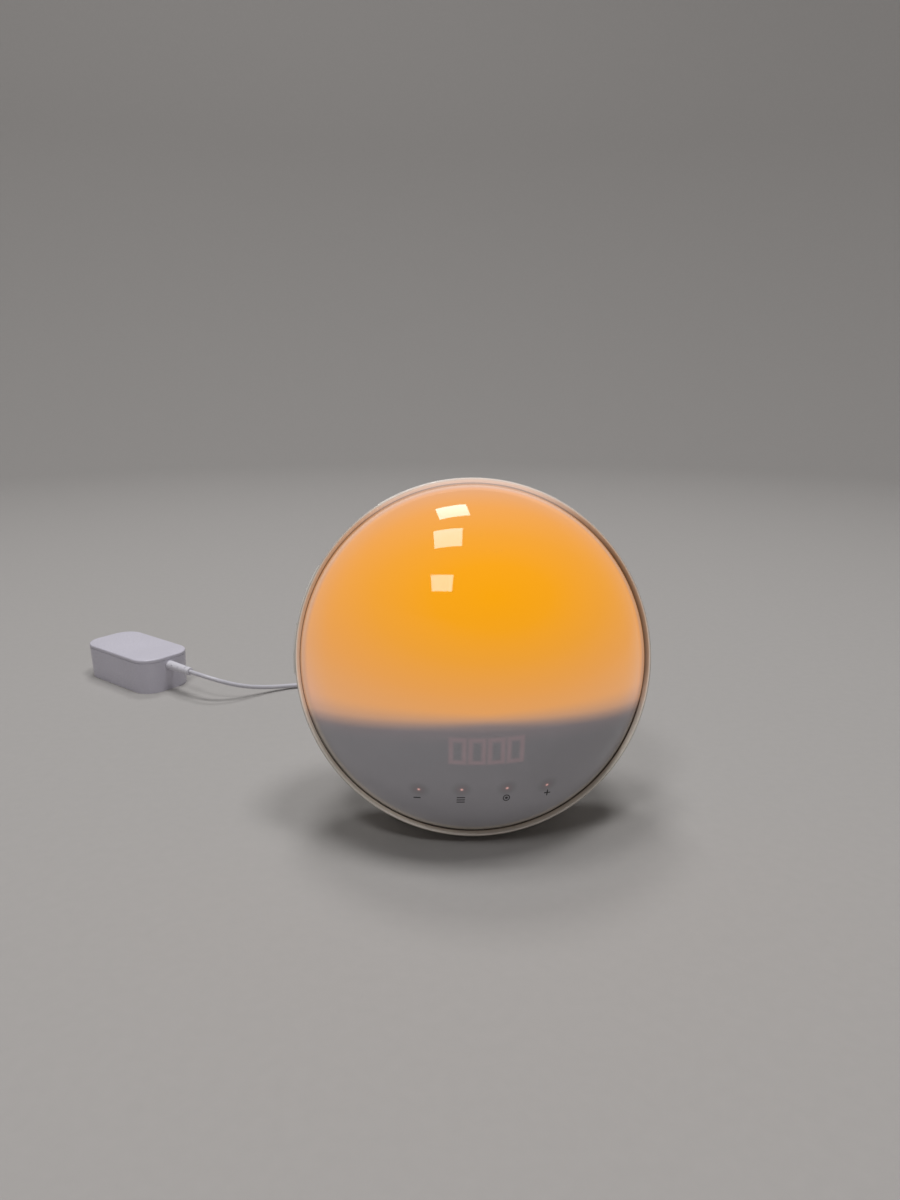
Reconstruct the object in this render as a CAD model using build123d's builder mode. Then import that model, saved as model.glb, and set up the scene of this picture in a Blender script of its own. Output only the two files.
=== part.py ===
"""Sunrise alarm clock with its mains adapter.

Millimetres, +Z up, front towards -Y, origin on the table under the middle of the clock's own box.
The clock is drawn on its leaning dial: u runs right, v up along the dial and w out of the front,
so the front ring's crest lies at w = 0 and everything behind it at negative w.
"""
import os
from math import cos, hypot, radians, sin, sqrt, tan

from build123d import *

# Stance
LEAN = 18.4              # the dial leans back by this many degrees
RING_CLEAR = 4.8         # table to the lowest point of the ring's crest
FIT = 0.3                # gap round a piece that moves
SEAT = 0.1               # gap round a piece that is dropped into a seat

# Front ring
CREST_R = 94.0
RING_PROUD = 0.6         # outer wall beyond the crest
RING_DEPTH = 6.0
RING_LIP = 1.1           # wall outside the dome's flange
BEVEL_IN = 1.9           # inner bevel, inwards from the crest
BEVEL_DOWN = 3.3

# Light dome
DOME_GROOVE = 0.3        # dark line between ring and dome
DOME_RISE = 54.2         # edge to apex
DOME_WALL = 2.2
FLANGE_T = 1.2

# Rear housing
HOUSING_DEPTH = 44.0
HOUSING_WALL = 2.4
BAND_DEPTH = 15.0        # straight band that holds the keys
SHELF_T = 1.2            # front shelf that carries the dome's flange
SHELF_IN = 4.4

# Stand
STAND_HALF_W = 50.0
STAND_HALF_D = 34.0
STAND_OUT = 5.0          # the stand's rear edge, behind the housing's back
STAND_TOP = 62.0
STAND_DRAFT = 14.0
STAND_GAP = 1.2          # table to the housing's flat bottom
FOOT_PLATE_T = 2.2
FOOT_R = 5.5
FOOT_SINK = 0.8
STAND_POST_TOP = 14.0
STAND_POST_R = 4.0
WIRE_HOLE_R = 4.0        # from the socket up into the housing
WIRE_HOLE_L = 12.0

# Keys on the rim
KEY_PROUD = 1.6          # beyond the band
KEY_W = 6.0              # along w
KEY_MID = -11.2          # w of the key's middle
KEY_ROOT = 4.6           # root below the band
KEY_TRAVEL = 0.8
SIDE_KEY_L = 27.4
SIDE_TAB = 1.2
SNOOZE_L = 100.0
SNOOZE_TAB = 3.0
TAB_T = 1.6
NUB_T = 0.7              # nub over the switch
SWITCH_BOARD_R = 82.4    # inner face of the switch boards
SWITCH_BOARD_L = 20.0
LEDGE_T = 2.2
SIDE_KEYS = {"alarm_one_key": -67.0, "alarm_two_key": -86.5, "light_key": 67.0, "sound_key": 86.5}
SWITCH_ANGLES = (-86.5, -67.0, 0.0, 67.0, 86.5)

# Reflector and lamp
REFLECTOR_T = 1.2
DISH_R = 80.0
DISH_DEPTH = 19.8
LAMP_V = 28.0
LAMP_HOLE_R = 30.0
LAMP_BOARD_R = 33.0
LAMP_BOARD_T = 1.6
SINK_BASE_T = 2.4
FIN_T = 1.4
FIN_H = 8.0
FIN_PITCH = 7.5
POST_R = 4.5
POST_INSET = 20.0        # housing posts, inwards from the band
SCREW_R = 1.5
SCREW_HEAD_R = 2.8
SCREW_HEAD_T = 2.0
SCREW_SEAT_W = -26.0     # where the case screws' heads bear
SCREW_BITE = 4.5
CROSS_W = 0.7            # slot of a screw's cross drive
FOOT_SCREW_SINK = 1.2    # seat of the foot plate's screws, above its underside
FOOT_SCREW_HEAD_T = 1.0
BOARD_SCREW_HEAD_T = 1.6
VENT_L = 34.0            # cooling slots behind the fins
VENT_W = 2.2

# Divider between light and display
DIVIDER_V = -31.1        # where it meets the dome's apex height
DIVIDER_SLOPE = 0.125
DIVIDER_T = 1.6
GASKET_T = 2.0

# Display and touch controls
PANEL_TILT = 34.5        # the control board follows the dome's lower face
PANEL_BACK = 11.64       # dome's inner face to the board's front, at its middle
PANEL_W = 76.0
PANEL_LOW = -25.0
PANEL_HIGH = 23.0
BOARD_T = 1.6
DISPLAY_W = 42.0
DISPLAY_H = 15.0
DISPLAY_T = 5.5
DISPLAY_Y = 14.9
DIGIT_PITCH = 9.6
DIGIT_W = 6.4
DIGIT_H = 12.0
SEGMENT_W = 1.2
SEGMENT_T = 0.4
TOUCH = ((-32.3, -12.0), (-11.3, -8.7), (11.3, -8.7), (32.3, -12.0))
TOUCH_R = 4.5
TOUCH_HOLE_R = 1.8
TRAY_T = 1.8
RIB_U = 30.0
RIB_T = 2.0

# Main board
MAIN_W = 48.0
MAIN_H = 48.0
MAIN_AT = (32.0, -32.0)
MAIN_POST = 20.0         # screw spacing from the board's middle
MAIN_TOP = -30.0         # w of its front face
BOARD_SCREW_L = 9.0

# Loudspeaker
SPEAKER_AT = (-36.0, -12.0)
SPEAKER_R = 20.0
SPEAKER_GASKET_T = 1.0
SPEAKER_FLANGE_T = 2.0
BASKET_T = 6.0
MAGNET_R = 12.0
MAGNET_T = 6.0
GRILLE_HOLE_R = 1.0
GRILLE_RINGS = ((0.0, 1), (3.5, 6), (7.0, 12), (10.5, 18), (14.0, 24))

# Supply socket and plug
SOCKET_Z = 20.0
RECESS_IN = 12.0         # the recess floor, in from the stand's rear edge
RECESS_W = 18.0
RECESS_H = 16.0
RECESS_WALL = 2.0
SOCKET_W = 11.0
SOCKET_D = 11.0
SOCKET_NOSE_R = 4.0
TIP_R = 2.75
TIP_BORE_R = 1.25
TIP_L = 10.0
PIN_R = 0.9
PLUG_R = 5.0
PLUG_L = 22.0
PLUG_GAP = 0.2           # recess floor to the seated plug's face
RELIEF_R = 2.9
RELIEF_END_R = 2.2
RELIEF_L = 20.0
GLAND_AT = (38.0, -30.0)  # aerial wire's gland on the rear wall
GLAND_R = 2.4

# Cord
CORD_R = 1.6
CORD_LEAD = 12.0         # straight stretch out of the adapter's sleeve
TURN_R = 18.6            # middle turn of the put-away coil
COIL_WIDE = 3            # turns beside each other
COIL_HIGH = 4            # turns on each other
COIL_LIFT = 0.9
COIL_AT = (-6.0, 150.0)
TIE_T = 0.8
TIE_W = 9.0

# Adapter, lying on its blade face with the blades folded in
ADAPTER_AT = (-243.0, 234.0)
ADAPTER_HEADING = -42.0
ADAPTER_L = 84.0
ADAPTER_W = 44.0
ADAPTER_D = 27.0
ADAPTER_WALL = 2.0
ADAPTER_CORNER = 14.0
ADAPTER_DRAFT = 2.0
ADAPTER_EDGE = 1.2
ADAPTER_RELIEF_L = 25.0
ADAPTER_RELIEF_Z = ADAPTER_D - 7.4
RELIEF_NECK_R = 3.6
COVER_GAP = 3.75         # over the tallest component
RELIEF_DOTS = (6.5, 13.5)   # two moulded dots, from the case
DOT_R = 0.5
LID_T = 3.0              # the cover's depth, down to the seam
SEAM_LINE = 0.4          # the groove that shows the seam
BLADE_W = 6.35
BLADE_T = 1.5
BLADE_OUT = 17.0         # beyond the case when folded out
BLADE_SPACING = 12.7
BLADE_SINK = 0.4         # folded blades below the case's face
HINGE_Y = -9.0           # hinge of the blades, from the middle
SHAFT_R = 1.5
SHAFT_FIT = 0.05
WELL_WALL = 1.5          # walls round the blades' slots, inside the case

# The dial in space
LEAN_COS, LEAN_SIN = cos(radians(LEAN)), sin(radians(LEAN))
BAND_R = CREST_R + RING_PROUD
ROUND_R = HOUSING_DEPTH - BAND_DEPTH
STAND_Y = HOUSING_DEPTH + STAND_OUT - STAND_HALF_D
RECESS_FLOOR = HOUSING_DEPTH + STAND_OUT - RECESS_IN     # from the dial's centre
FLAT_R = BAND_R - ROUND_R
DOME_EDGE_R = CREST_R - BEVEL_IN - DOME_GROOVE
DOME_R = (DOME_EDGE_R**2 + DOME_RISE**2) / (2 * DOME_RISE)
DOME_C = DOME_RISE - BEVEL_DOWN - DOME_R
FRONT_Y = -DOME_C * LEAN_COS - DOME_R
REAR_Y = BAND_DEPTH * LEAN_COS + FLAT_R * LEAN_SIN + ROUND_R
DIAL_Y = -(FRONT_Y + REAR_Y) / 2
DIAL_Z = CREST_R * LEAN_COS + RING_CLEAR
CENTRE = (0, DIAL_Y, DIAL_Z)
DIAL_UP = (0, LEAN_SIN, LEAN_COS)
DIAL_OUT = (0, -LEAN_COS, LEAN_SIN)
DIAL = Plane(origin=CENTRE, x_dir=(1, 0, 0), z_dir=DIAL_OUT)
AXIAL = Plane(origin=CENTRE, x_dir=(1, 0, 0), z_dir=(0, -LEAN_SIN, -LEAN_COS))
SIDE = Plane(origin=CENTRE, x_dir=DIAL_UP, z_dir=(1, 0, 0))
AXIS = Axis(CENTRE, DIAL_OUT)

# The control board's own plane: it faces square out of the dome's lower part
DOME_IN_R = DOME_R - DOME_WALL
TILT_COS, TILT_SIN = cos(radians(PANEL_TILT)), sin(radians(PANEL_TILT))
PANEL_OUT = DOME_IN_R - PANEL_BACK
PANEL = Plane(
    origin=DIAL.from_local_coords((0, -PANEL_OUT * TILT_SIN, DOME_C + PANEL_OUT * TILT_COS)),
    x_dir=(1, 0, 0),
    z_dir=Vector(*DIAL_OUT) * TILT_COS - Vector(*DIAL_UP) * TILT_SIN,
)
HEADING = (cos(radians(ADAPTER_HEADING)), sin(radians(ADAPTER_HEADING)))
ADAPTER = Plane(origin=(*ADAPTER_AT, 0), x_dir=(*HEADING, 0), z_dir=(0, 0, 1))
PLUG = Plane(origin=(0, DIAL_Y + RECESS_FLOOR, SOCKET_Z), x_dir=(1, 0, 0), z_dir=(0, 1, 0))
PLUG_SIDE = Plane(origin=PLUG.origin, x_dir=(1, 0, 0), z_dir=(0, 0, 1))
PLUG_AXIS = Axis(PLUG.origin, (0, 1, 0))


def rim_place(r, angle):
    """Dial position at a radius and a clockwise angle from the top."""
    return (r * sin(radians(angle)), r * cos(radians(angle)))


# Places that follow from the sizes
DISH_RIM_W = -RING_DEPTH - 2 * SEAT
LAMP_W = DISH_RIM_W - DISH_DEPTH - REFLECTOR_T - 0.4
APEX_W = DOME_C + DOME_R
DIVIDER = Plane(
    origin=DIAL.from_local_coords((0, DIVIDER_V + DIVIDER_SLOPE * APEX_W, 0)),
    x_dir=(1, 0, 0),
    z_dir=Vector(*DIAL_UP) + Vector(*DIAL_OUT) * DIVIDER_SLOPE,
)
SCREW_PILOT_R = SCREW_R + 0.05
CASE_POSTS = [(rim_place(BAND_R - POST_INSET, angle), -16.0) for angle in (-48, 48)]
CASE_POSTS += [(rim_place(BAND_R - POST_INSET, angle), DISH_RIM_W - TRAY_T) for angle in (-118, 118)]
LAMP_POSTS = [(u, LAMP_V + dv) for u in (-26.5, 26.5) for dv in (-10, 10)]
MAIN_POSTS = [(MAIN_AT[0] + a * MAIN_POST, MAIN_AT[1] + b * MAIN_POST) for a in (-1, 1) for b in (-1, 1)]
FIN_US = [FIN_PITCH * step for step in range(-3, 4)]
VENT_US = [FIN_PITCH * (step + 0.5) for step in range(-3, 3)]
SWITCH_W = (KEY_MID - 3.3, KEY_MID + 3.3)
SOCKET_BACK = -RECESS_WALL - SOCKET_D
SWITCH_TOP_R = BAND_R - KEY_ROOT - NUB_T - KEY_TRAVEL - 0.2
LEDGE_W = SWITCH_W[0] - FIT
KEY_SLOT_W = (KEY_MID - KEY_W / 2 - FIT, KEY_MID + KEY_W / 2 + FIT)
KEY_SLOTS = [(angle, SIDE_KEY_L) for angle in SIDE_KEYS.values()] + [(0.0, SNOOZE_L)]
FOOT_PLATE_TOP = STAND_GAP + FOOT_PLATE_T
FEET = [(u, DIAL_Y + STAND_Y + dy) for u, dy in ((-22, -21), (22, -21), (-28, 17), (28, 17))]
STAND_SCREWS = [(u, DIAL_Y + STAND_Y + dy) for u in (-39, 39) for dy in (-7, 7)]
COIL_IN_R = TURN_R - COIL_WIDE * CORD_R
COIL_OUT_R = TURN_R + COIL_WIDE * CORD_R
COIL_TOP = COIL_LIFT + COIL_HIGH * 2 * CORD_R
HINGE_Z = BLADE_SINK + BLADE_W / 2
BLADE_REACH = HINGE_Z + BLADE_OUT
SLOT_TOP = HINGE_Z + BLADE_W / 2 + FIT
WELL_TOP = SLOT_TOP + WELL_WALL
BLADE_XS = (-BLADE_SPACING / 2, BLADE_SPACING / 2)
SHAFT_HALF_L = BLADE_SPACING / 2 + BLADE_T / 2 + FIT + 1.2
HINGE = Plane(
    origin=ADAPTER.from_local_coords((0, HINGE_Y, HINGE_Z)), x_dir=ADAPTER.y_dir, z_dir=ADAPTER.x_dir
)
COIL_START = (COIL_AT[0] + COIL_OUT_R - CORD_R, COIL_AT[1], COIL_TOP - CORD_R)
COIL_END = (COIL_AT[0], COIL_AT[1] + COIL_OUT_R - CORD_R, COIL_LIFT + CORD_R)
RELIEF_SIDE = Plane(
    origin=(*ADAPTER_AT, ADAPTER_RELIEF_Z), x_dir=(0, 0, 1), z_dir=(-HEADING[1], HEADING[0], 0)
)

# Cord routes, from the plug to the coil and from the coil to the adapter
PLUG_TAIL = (0, DIAL_Y + RECESS_FLOOR + PLUG_GAP + PLUG_L + RELIEF_L, SOCKET_Z)
ADAPTER_TAIL = RELIEF_SIDE.origin + Vector(*HEADING, 0) * (ADAPTER_L / 2 + ADAPTER_RELIEF_L)
ADAPTER_LEAD = ADAPTER_TAIL + Vector(*HEADING, 0) * CORD_LEAD
NEAR_ROUTE = (
    PLUG_TAIL,
    (0, 87.0, 20.0),
    (1.5, 101.5, 15.5),
    (6.5, 117.5, 11.0),
    (13.0, 133.5, 10.2),
    COIL_START,
)
FAR_ROUTE = (
    tuple(ADAPTER_TAIL),
    tuple(ADAPTER_LEAD),
    (-173.0, 177.4, 17.0),
    (-160.5, 179.2, 12.2),
    (-148.3, 185.3, 7.5),
    (-133.8, 194.3, 3.6),
    (-116.5, 201.3, 2.0),
    (-95.5, 203.0, 1.8),
    (-74.5, 198.0, 1.8),
    (-56.0, 187.5, 1.9),
    (-40.5, 177.5, 2.1),
    (-23.0, 172.7, 2.4),
    COIL_END,
)


def save(builder, name):
    """Label a finished piece and write it."""
    builder.part.label = name
    export_step(builder.part, f"parts/{name}.step")


def posts(plane, low, high, radius, places=((0, 0),), mode=Mode.ADD):
    """Round posts, or holes, between two heights over a plane."""
    with BuildSketch(plane.offset(low)) as ends:
        with Locations(*places):
            Circle(radius)
    extrude(ends.sketch, amount=high - low, mode=mode)


def tubes(plane, low, high, radius, bore, places=((0, 0),), mode=Mode.ADD):
    """Posts with a bore."""
    with BuildSketch(plane.offset(low)) as ends:
        with Locations(*places):
            Circle(radius)
            Circle(bore, mode=Mode.SUBTRACT)
    extrude(ends.sketch, amount=high - low, mode=mode)


def blocks(plane, low, high, width, height, places=((0, 0),), turn=0, mode=Mode.ADD):
    """Blocks, or rectangular holes, between two heights over a plane."""
    with BuildSketch(plane.offset(low)) as ends:
        with Locations(*places):
            Rectangle(width, height, rotation=turn)
    extrude(ends.sketch, amount=high - low, mode=mode)


def turned(outline_points, plane=AXIAL, axis=AXIS, mode=Mode.ADD):
    """A ring or disc turned from a straight-sided half section."""
    with BuildSketch(plane) as section:
        with BuildLine():
            Polyline(*outline_points, close=True)
        make_face()
    revolve(section.sketch, axis=axis, mode=mode)


def rim_strip(angle, length, inner_r, outer_r, low, high, mode=Mode.ADD):
    """A strip of the rim between two radii, cut straight-sided along its own direction."""
    direction = radians(angle)
    middle = ((inner_r + outer_r) / 2 * sin(direction), (inner_r + outer_r) / 2 * cos(direction))
    with BuildSketch(DIAL.offset(low)) as strip:
        Circle(outer_r)
        Circle(inner_r, mode=Mode.SUBTRACT)
        with Locations(middle):
            Rectangle(length, CREST_R, rotation=-angle, mode=Mode.INTERSECT)
    extrude(strip.sketch, amount=high - low, mode=mode)


def bowl(inset, front, mode=Mode.ADD):
    """The housing's body of revolution, moved inwards by a wall, from its front plane back."""
    depth = HOUSING_DEPTH - inset
    with BuildSketch(AXIAL) as section:
        with BuildLine():
            Polyline((0, front), (BAND_R - inset, front), (BAND_R - inset, -BAND_DEPTH))
            CenterArc((FLAT_R, -BAND_DEPTH), ROUND_R - inset, 0, -90)
            Polyline((FLAT_R, -depth), (0, -depth), (0, front))
        make_face()
    revolve(section.sketch, axis=AXIS, mode=mode)


def stand(inset, low, mode=Mode.ADD):
    """The oval stand, narrowing upwards, moved inwards by a wall."""
    shrink = (STAND_TOP - STAND_GAP) * tan(radians(STAND_DRAFT))
    spread = (low - STAND_GAP) * tan(radians(STAND_DRAFT))
    with BuildSketch(Plane.XY.offset(low)) as base:
        with Locations((0, DIAL_Y + STAND_Y)):
            Ellipse(STAND_HALF_W - inset - spread, STAND_HALF_D - inset - spread)
    with BuildSketch(Plane.XY.offset(STAND_TOP)) as top:
        with Locations((0, DIAL_Y + STAND_Y)):
            Ellipse(STAND_HALF_W - inset - shrink, STAND_HALF_D - inset - shrink)
    loft([base.sketch.face(), top.sketch.face()], mode=mode)


def dome_w(radius, r):
    """Height of a sphere about the dome's centre, at a distance r from the axis."""
    return DOME_C + sqrt(radius**2 - r**2)


def dish_w(r, drop=0.0):
    """Height of the reflector's face, at a distance r from the axis."""
    sphere = (DISH_R**2 + DISH_DEPTH**2) / (2 * DISH_DEPTH)
    return DISH_RIM_W - DISH_DEPTH + sphere - drop - sqrt(sphere**2 - r**2)


def keep_side(plane, side):
    """Keep what lies on one side of a plane."""
    split(bisect_by=plane, keep=side)


def front_dome():
    inner_edge = DOME_EDGE_R - DOME_WALL
    flange_r = BAND_R - RING_LIP - SEAT
    flange_top = -RING_DEPTH + FLANGE_T
    with BuildPart() as dome:
        with BuildSketch(AXIAL):
            with BuildLine():
                ThreePointArc(*[(r, dome_w(DOME_R, r)) for r in (DOME_EDGE_R, DOME_EDGE_R * 0.6, 0)])
                Line((0, dome_w(DOME_R, 0)), (0, dome_w(DOME_IN_R, 0)))
                ThreePointArc(*[(r, dome_w(DOME_IN_R, r)) for r in (0, inner_edge * 0.6, inner_edge)])
                Polyline(
                    (inner_edge, dome_w(DOME_IN_R, inner_edge)),
                    (inner_edge, -RING_DEPTH),
                    (flange_r, -RING_DEPTH),
                    (flange_r, flange_top),
                    (DOME_EDGE_R, flange_top),
                    (DOME_EDGE_R, dome_w(DOME_R, DOME_EDGE_R)),
                )
            make_face()
        revolve(axis=AXIS)
    save(dome, "front_dome")


def bezel_ring():
    seat_r = BAND_R - RING_LIP
    bevel_foot = (CREST_R - BEVEL_IN, -BEVEL_DOWN)
    seat_top = -RING_DEPTH + FLANGE_T + SEAT
    with BuildPart() as ring:
        with BuildSketch(AXIAL):
            with BuildLine():
                Line((BAND_R, -RING_DEPTH), (BAND_R, -1.2))
                ThreePointArc((BAND_R, -1.2), (CREST_R + 0.1, -0.05), (CREST_R - 0.8, -0.4))
                Polyline(
                    (CREST_R - 0.8, -0.4),
                    bevel_foot,
                    (bevel_foot[0], seat_top),
                    (seat_r, seat_top),
                    (seat_r, -RING_DEPTH),
                    (BAND_R, -RING_DEPTH),
                )
            make_face()
        revolve(axis=AXIS)
    save(ring, "bezel_ring")


def foot_oval(growth, low, high, mode=Mode.ADD):
    """The foot plate's oval, grown by a gap, between two heights."""
    shrink = HOUSING_WALL + 2 * SEAT + FOOT_PLATE_T * tan(radians(STAND_DRAFT)) - growth
    with BuildSketch(Plane.XY.offset(low)) as oval:
        with Locations((0, DIAL_Y + STAND_Y)):
            Ellipse(STAND_HALF_W - shrink, STAND_HALF_D - shrink)
    extrude(oval.sketch, amount=high - low, mode=mode)


def stand_hollow():
    """The room inside the stand, under the bowl."""
    with BuildPart() as room:
        stand(HOUSING_WALL, STAND_GAP)
        bowl(0, 0, mode=Mode.SUBTRACT)
    return room.part


def socket_surround():
    """The walls round the supply recess, trimmed to the stand's outside."""
    with BuildPart() as walls:
        stand(0, STAND_GAP)
        width, height = RECESS_W + 2 * RECESS_WALL, RECESS_H + 2 * RECESS_WALL
        blocks(PLUG, -RECESS_WALL, STAND_HALF_D, width, height, mode=Mode.INTERSECT)
    return walls.part


def back_post(place, top, radius):
    """A post from inside the housing's rear wall up to a height."""
    r = hypot(*place)
    wall = HOUSING_WALL / 2
    depth = ROUND_R - wall
    out = max(r - FLAT_R, 0.0)
    posts(DIAL, -BAND_DEPTH - sqrt(depth**2 - min(out + radius, depth)**2), top, radius, [place])


def rear_housing():
    shelf_back = -RING_DEPTH - SHELF_T
    with BuildPart() as housing:
        bowl(0, -RING_DEPTH)
        stand(0, STAND_GAP)
        keep_side(Plane.XY.offset(STAND_GAP), Keep.TOP)
        bowl(HOUSING_WALL, shelf_back, mode=Mode.SUBTRACT)
        posts(DIAL, shelf_back - 1, 1, BAND_R - SHELF_IN, mode=Mode.SUBTRACT)
        add(stand_hollow(), mode=Mode.SUBTRACT)
        add(socket_surround())
        blocks(PLUG, 0, STAND_HALF_D, RECESS_W, RECESS_H, mode=Mode.SUBTRACT)
        posts(PLUG, -RECESS_WALL - 1, 1, SOCKET_NOSE_R + SEAT, mode=Mode.SUBTRACT)
        posts(PLUG, SOCKET_BACK - WIRE_HOLE_L, SOCKET_BACK, WIRE_HOLE_R, mode=Mode.SUBTRACT)
        for angle in SWITCH_ANGLES:
            rim_strip(angle, SWITCH_BOARD_L, SWITCH_BOARD_R, BAND_R - 1, LEDGE_W - LEDGE_T, LEDGE_W)
        for place in LAMP_POSTS:
            back_post(place, LAMP_W - LAMP_BOARD_T - SINK_BASE_T, 2.0)
        for place in MAIN_POSTS:
            back_post(place, MAIN_TOP - BOARD_T, 3.0)
        posts(DIAL, MAIN_TOP - BOARD_SCREW_L - 1, MAIN_TOP, SCREW_PILOT_R, MAIN_POSTS, mode=Mode.SUBTRACT)
        for place, top in CASE_POSTS:
            back_post(place, top, POST_R)
            posts(DIAL, -HOUSING_DEPTH - 1, SCREW_SEAT_W, SCREW_HEAD_R + FIT, [place], mode=Mode.SUBTRACT)
            posts(DIAL, SCREW_SEAT_W - 1, top + 1, SCREW_PILOT_R, [place], mode=Mode.SUBTRACT)
        foot_oval(SEAT, STAND_GAP, FOOT_PLATE_TOP, mode=Mode.SUBTRACT)
        posts(Plane.XY, FOOT_PLATE_TOP, STAND_POST_TOP, STAND_POST_R, STAND_SCREWS)
        pilot = (FOOT_PLATE_TOP - 1, STAND_POST_TOP - 4)
        posts(Plane.XY, *pilot, SCREW_PILOT_R, STAND_SCREWS, mode=Mode.SUBTRACT)
        for angle, length in KEY_SLOTS:
            rim_strip(angle, length + 2 * FIT, BAND_R - 4, BAND_R + 4, *KEY_SLOT_W, mode=Mode.SUBTRACT)
        grille_and_vents()
        posts(DIAL, -HOUSING_DEPTH - 1, -HOUSING_DEPTH + 4, GLAND_R + SEAT, [GLAND_AT], mode=Mode.SUBTRACT)
    save(housing, "rear_housing")


def grille_and_vents():
    """Loudspeaker holes and the cooling slots behind the lamp, cut through the rear wall."""
    holes = []
    for ring_r, count in GRILLE_RINGS:
        for step in range(count):
            du, dv = rim_place(ring_r, 360 * step / count)
            holes.append((SPEAKER_AT[0] + du, SPEAKER_AT[1] + dv))
    wall = (-HOUSING_DEPTH - 1, -HOUSING_DEPTH + HOUSING_WALL + 0.2)
    posts(DIAL, *wall, GRILLE_HOLE_R, holes, mode=Mode.SUBTRACT)
    slots = [(u, LAMP_V) for u in VENT_US]
    with BuildSketch(DIAL.offset(wall[0])) as openings:
        with Locations(*slots):
            SlotOverall(VENT_L, VENT_W, rotation=90)
    extrude(openings.sketch, amount=wall[1] - wall[0], mode=Mode.SUBTRACT)


def foot_plate():
    with BuildPart() as plate:
        foot_oval(0, STAND_GAP, FOOT_PLATE_TOP)
        posts(Plane.XY, 0, STAND_GAP + FOOT_SINK, FOOT_R + SEAT, FEET, mode=Mode.SUBTRACT)
        posts(Plane.XY, 0, FOOT_PLATE_TOP + 1, SCREW_R + SEAT, STAND_SCREWS, mode=Mode.SUBTRACT)
        head_seat = STAND_GAP + FOOT_SCREW_SINK
        posts(Plane.XY, 0, head_seat, SCREW_HEAD_R + FIT, STAND_SCREWS, mode=Mode.SUBTRACT)
    save(plate, "foot_plate")


def rubber_feet():
    with BuildPart() as feet:
        posts(Plane.XY, 0, STAND_GAP + FOOT_SINK, FOOT_R, FEET)
        chamfer(feet.edges().group_by(Axis.Z)[0], 0.4)
    save(feet, "rubber_feet")


def screws(name, plane, seat, head_t, ends):
    """Pan-head screws over a plane, each with its place and the height of its tip."""
    with BuildPart() as group:
        for place, tip in ends:
            back = head_t if tip < seat else -head_t
            posts(plane, *sorted((seat, seat + back)), SCREW_HEAD_R, [place])
            posts(plane, *sorted((seat, tip)), SCREW_R, [place])
            cross = sorted((seat + back, seat + 0.4 * back))
            blocks(plane, *cross, SCREW_HEAD_R, CROSS_W, [place], mode=Mode.SUBTRACT)
            blocks(plane, *cross, CROSS_W, SCREW_HEAD_R, [place], mode=Mode.SUBTRACT)
    save(group, name)


def void_before_dish():
    """Everything in front of the reflector's face."""
    rim = (DISH_R, dish_w(DISH_R))
    with BuildPart() as void:
        with BuildSketch(AXIAL):
            with BuildLine():
                ThreePointArc(*[(r, dish_w(r)) for r in (0, DISH_R * 0.6, DISH_R)])
                Polyline(rim, (CREST_R, rim[1]), (CREST_R, 20), (0, 20), (0, dish_w(0)))
            make_face()
        revolve(axis=AXIS)
    return void.part


def reflector():
    flange_r = DOME_EDGE_R - DOME_WALL - 2 * SEAT
    with BuildPart() as dish:
        with BuildSketch(AXIAL):
            with BuildLine():
                ThreePointArc(*[(r, dish_w(r)) for r in (0, DISH_R * 0.6, DISH_R)])
                Polyline(
                    (DISH_R, dish_w(DISH_R)),
                    (flange_r, dish_w(DISH_R)),
                    (flange_r, dish_w(DISH_R, REFLECTOR_T)),
                    (DISH_R, dish_w(DISH_R, REFLECTOR_T)),
                )
                ThreePointArc(*[(r, dish_w(r, REFLECTOR_T)) for r in (DISH_R, DISH_R * 0.6, 0)])
                Line((0, dish_w(0, REFLECTOR_T)), (0, dish_w(0)))
            make_face()
        revolve(axis=AXIS)
        posts(DIAL, LAMP_W, -8, LAMP_HOLE_R + REFLECTOR_T, [(0, LAMP_V)])
        for place, top in CASE_POSTS[:2]:
            posts(DIAL, top, -4, POST_R, [place])
        add(void_before_dish(), mode=Mode.SUBTRACT)
        posts(DIAL, LAMP_W - 1, 1, LAMP_HOLE_R, [(0, LAMP_V)], mode=Mode.SUBTRACT)
        for place, top in CASE_POSTS[:2]:
            posts(DIAL, top - 1, top + SCREW_BITE + 0.5, SCREW_PILOT_R, [place], mode=Mode.SUBTRACT)
        keep_side(DIVIDER, Keep.TOP)
    save(dish, "reflector")


def chamber(outer_sphere, inner_sphere=None):
    """Solid of revolution under a sphere, from the dish's back or from a smaller sphere."""
    edge = DOME_EDGE_R - GASKET_T - 1
    with BuildPart() as space:
        with BuildSketch(AXIAL):
            with BuildLine():
                ThreePointArc(*[(r, dome_w(outer_sphere, r)) for r in (0, edge * 0.6, edge)])
                if inner_sphere:
                    Line((edge, dome_w(outer_sphere, edge)), (edge, dome_w(inner_sphere, edge)))
                    ThreePointArc(*[(r, dome_w(inner_sphere, r)) for r in (edge, edge * 0.6, 0)])
                    Line((0, dome_w(inner_sphere, 0)), (0, dome_w(outer_sphere, 0)))
                else:
                    rim = dish_w(DISH_R, REFLECTOR_T)
                    Polyline((edge, dome_w(outer_sphere, edge)), (edge, rim), (DISH_R, rim))
                    ThreePointArc(*[(r, dish_w(r, REFLECTOR_T)) for r in (DISH_R, DISH_R * 0.6, 0)])
                    Line((0, dish_w(0, REFLECTOR_T)), (0, dome_w(outer_sphere, 0)))
            make_face()
        revolve(axis=AXIS)
    return space.part


def light_divider():
    with BuildPart() as wall:
        blocks(DIVIDER, -DIVIDER_T, 0, 2 * CREST_R, 3 * CREST_R)
        add(chamber(DOME_IN_R - GASKET_T), mode=Mode.INTERSECT)
    save(wall, "light_divider")


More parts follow.
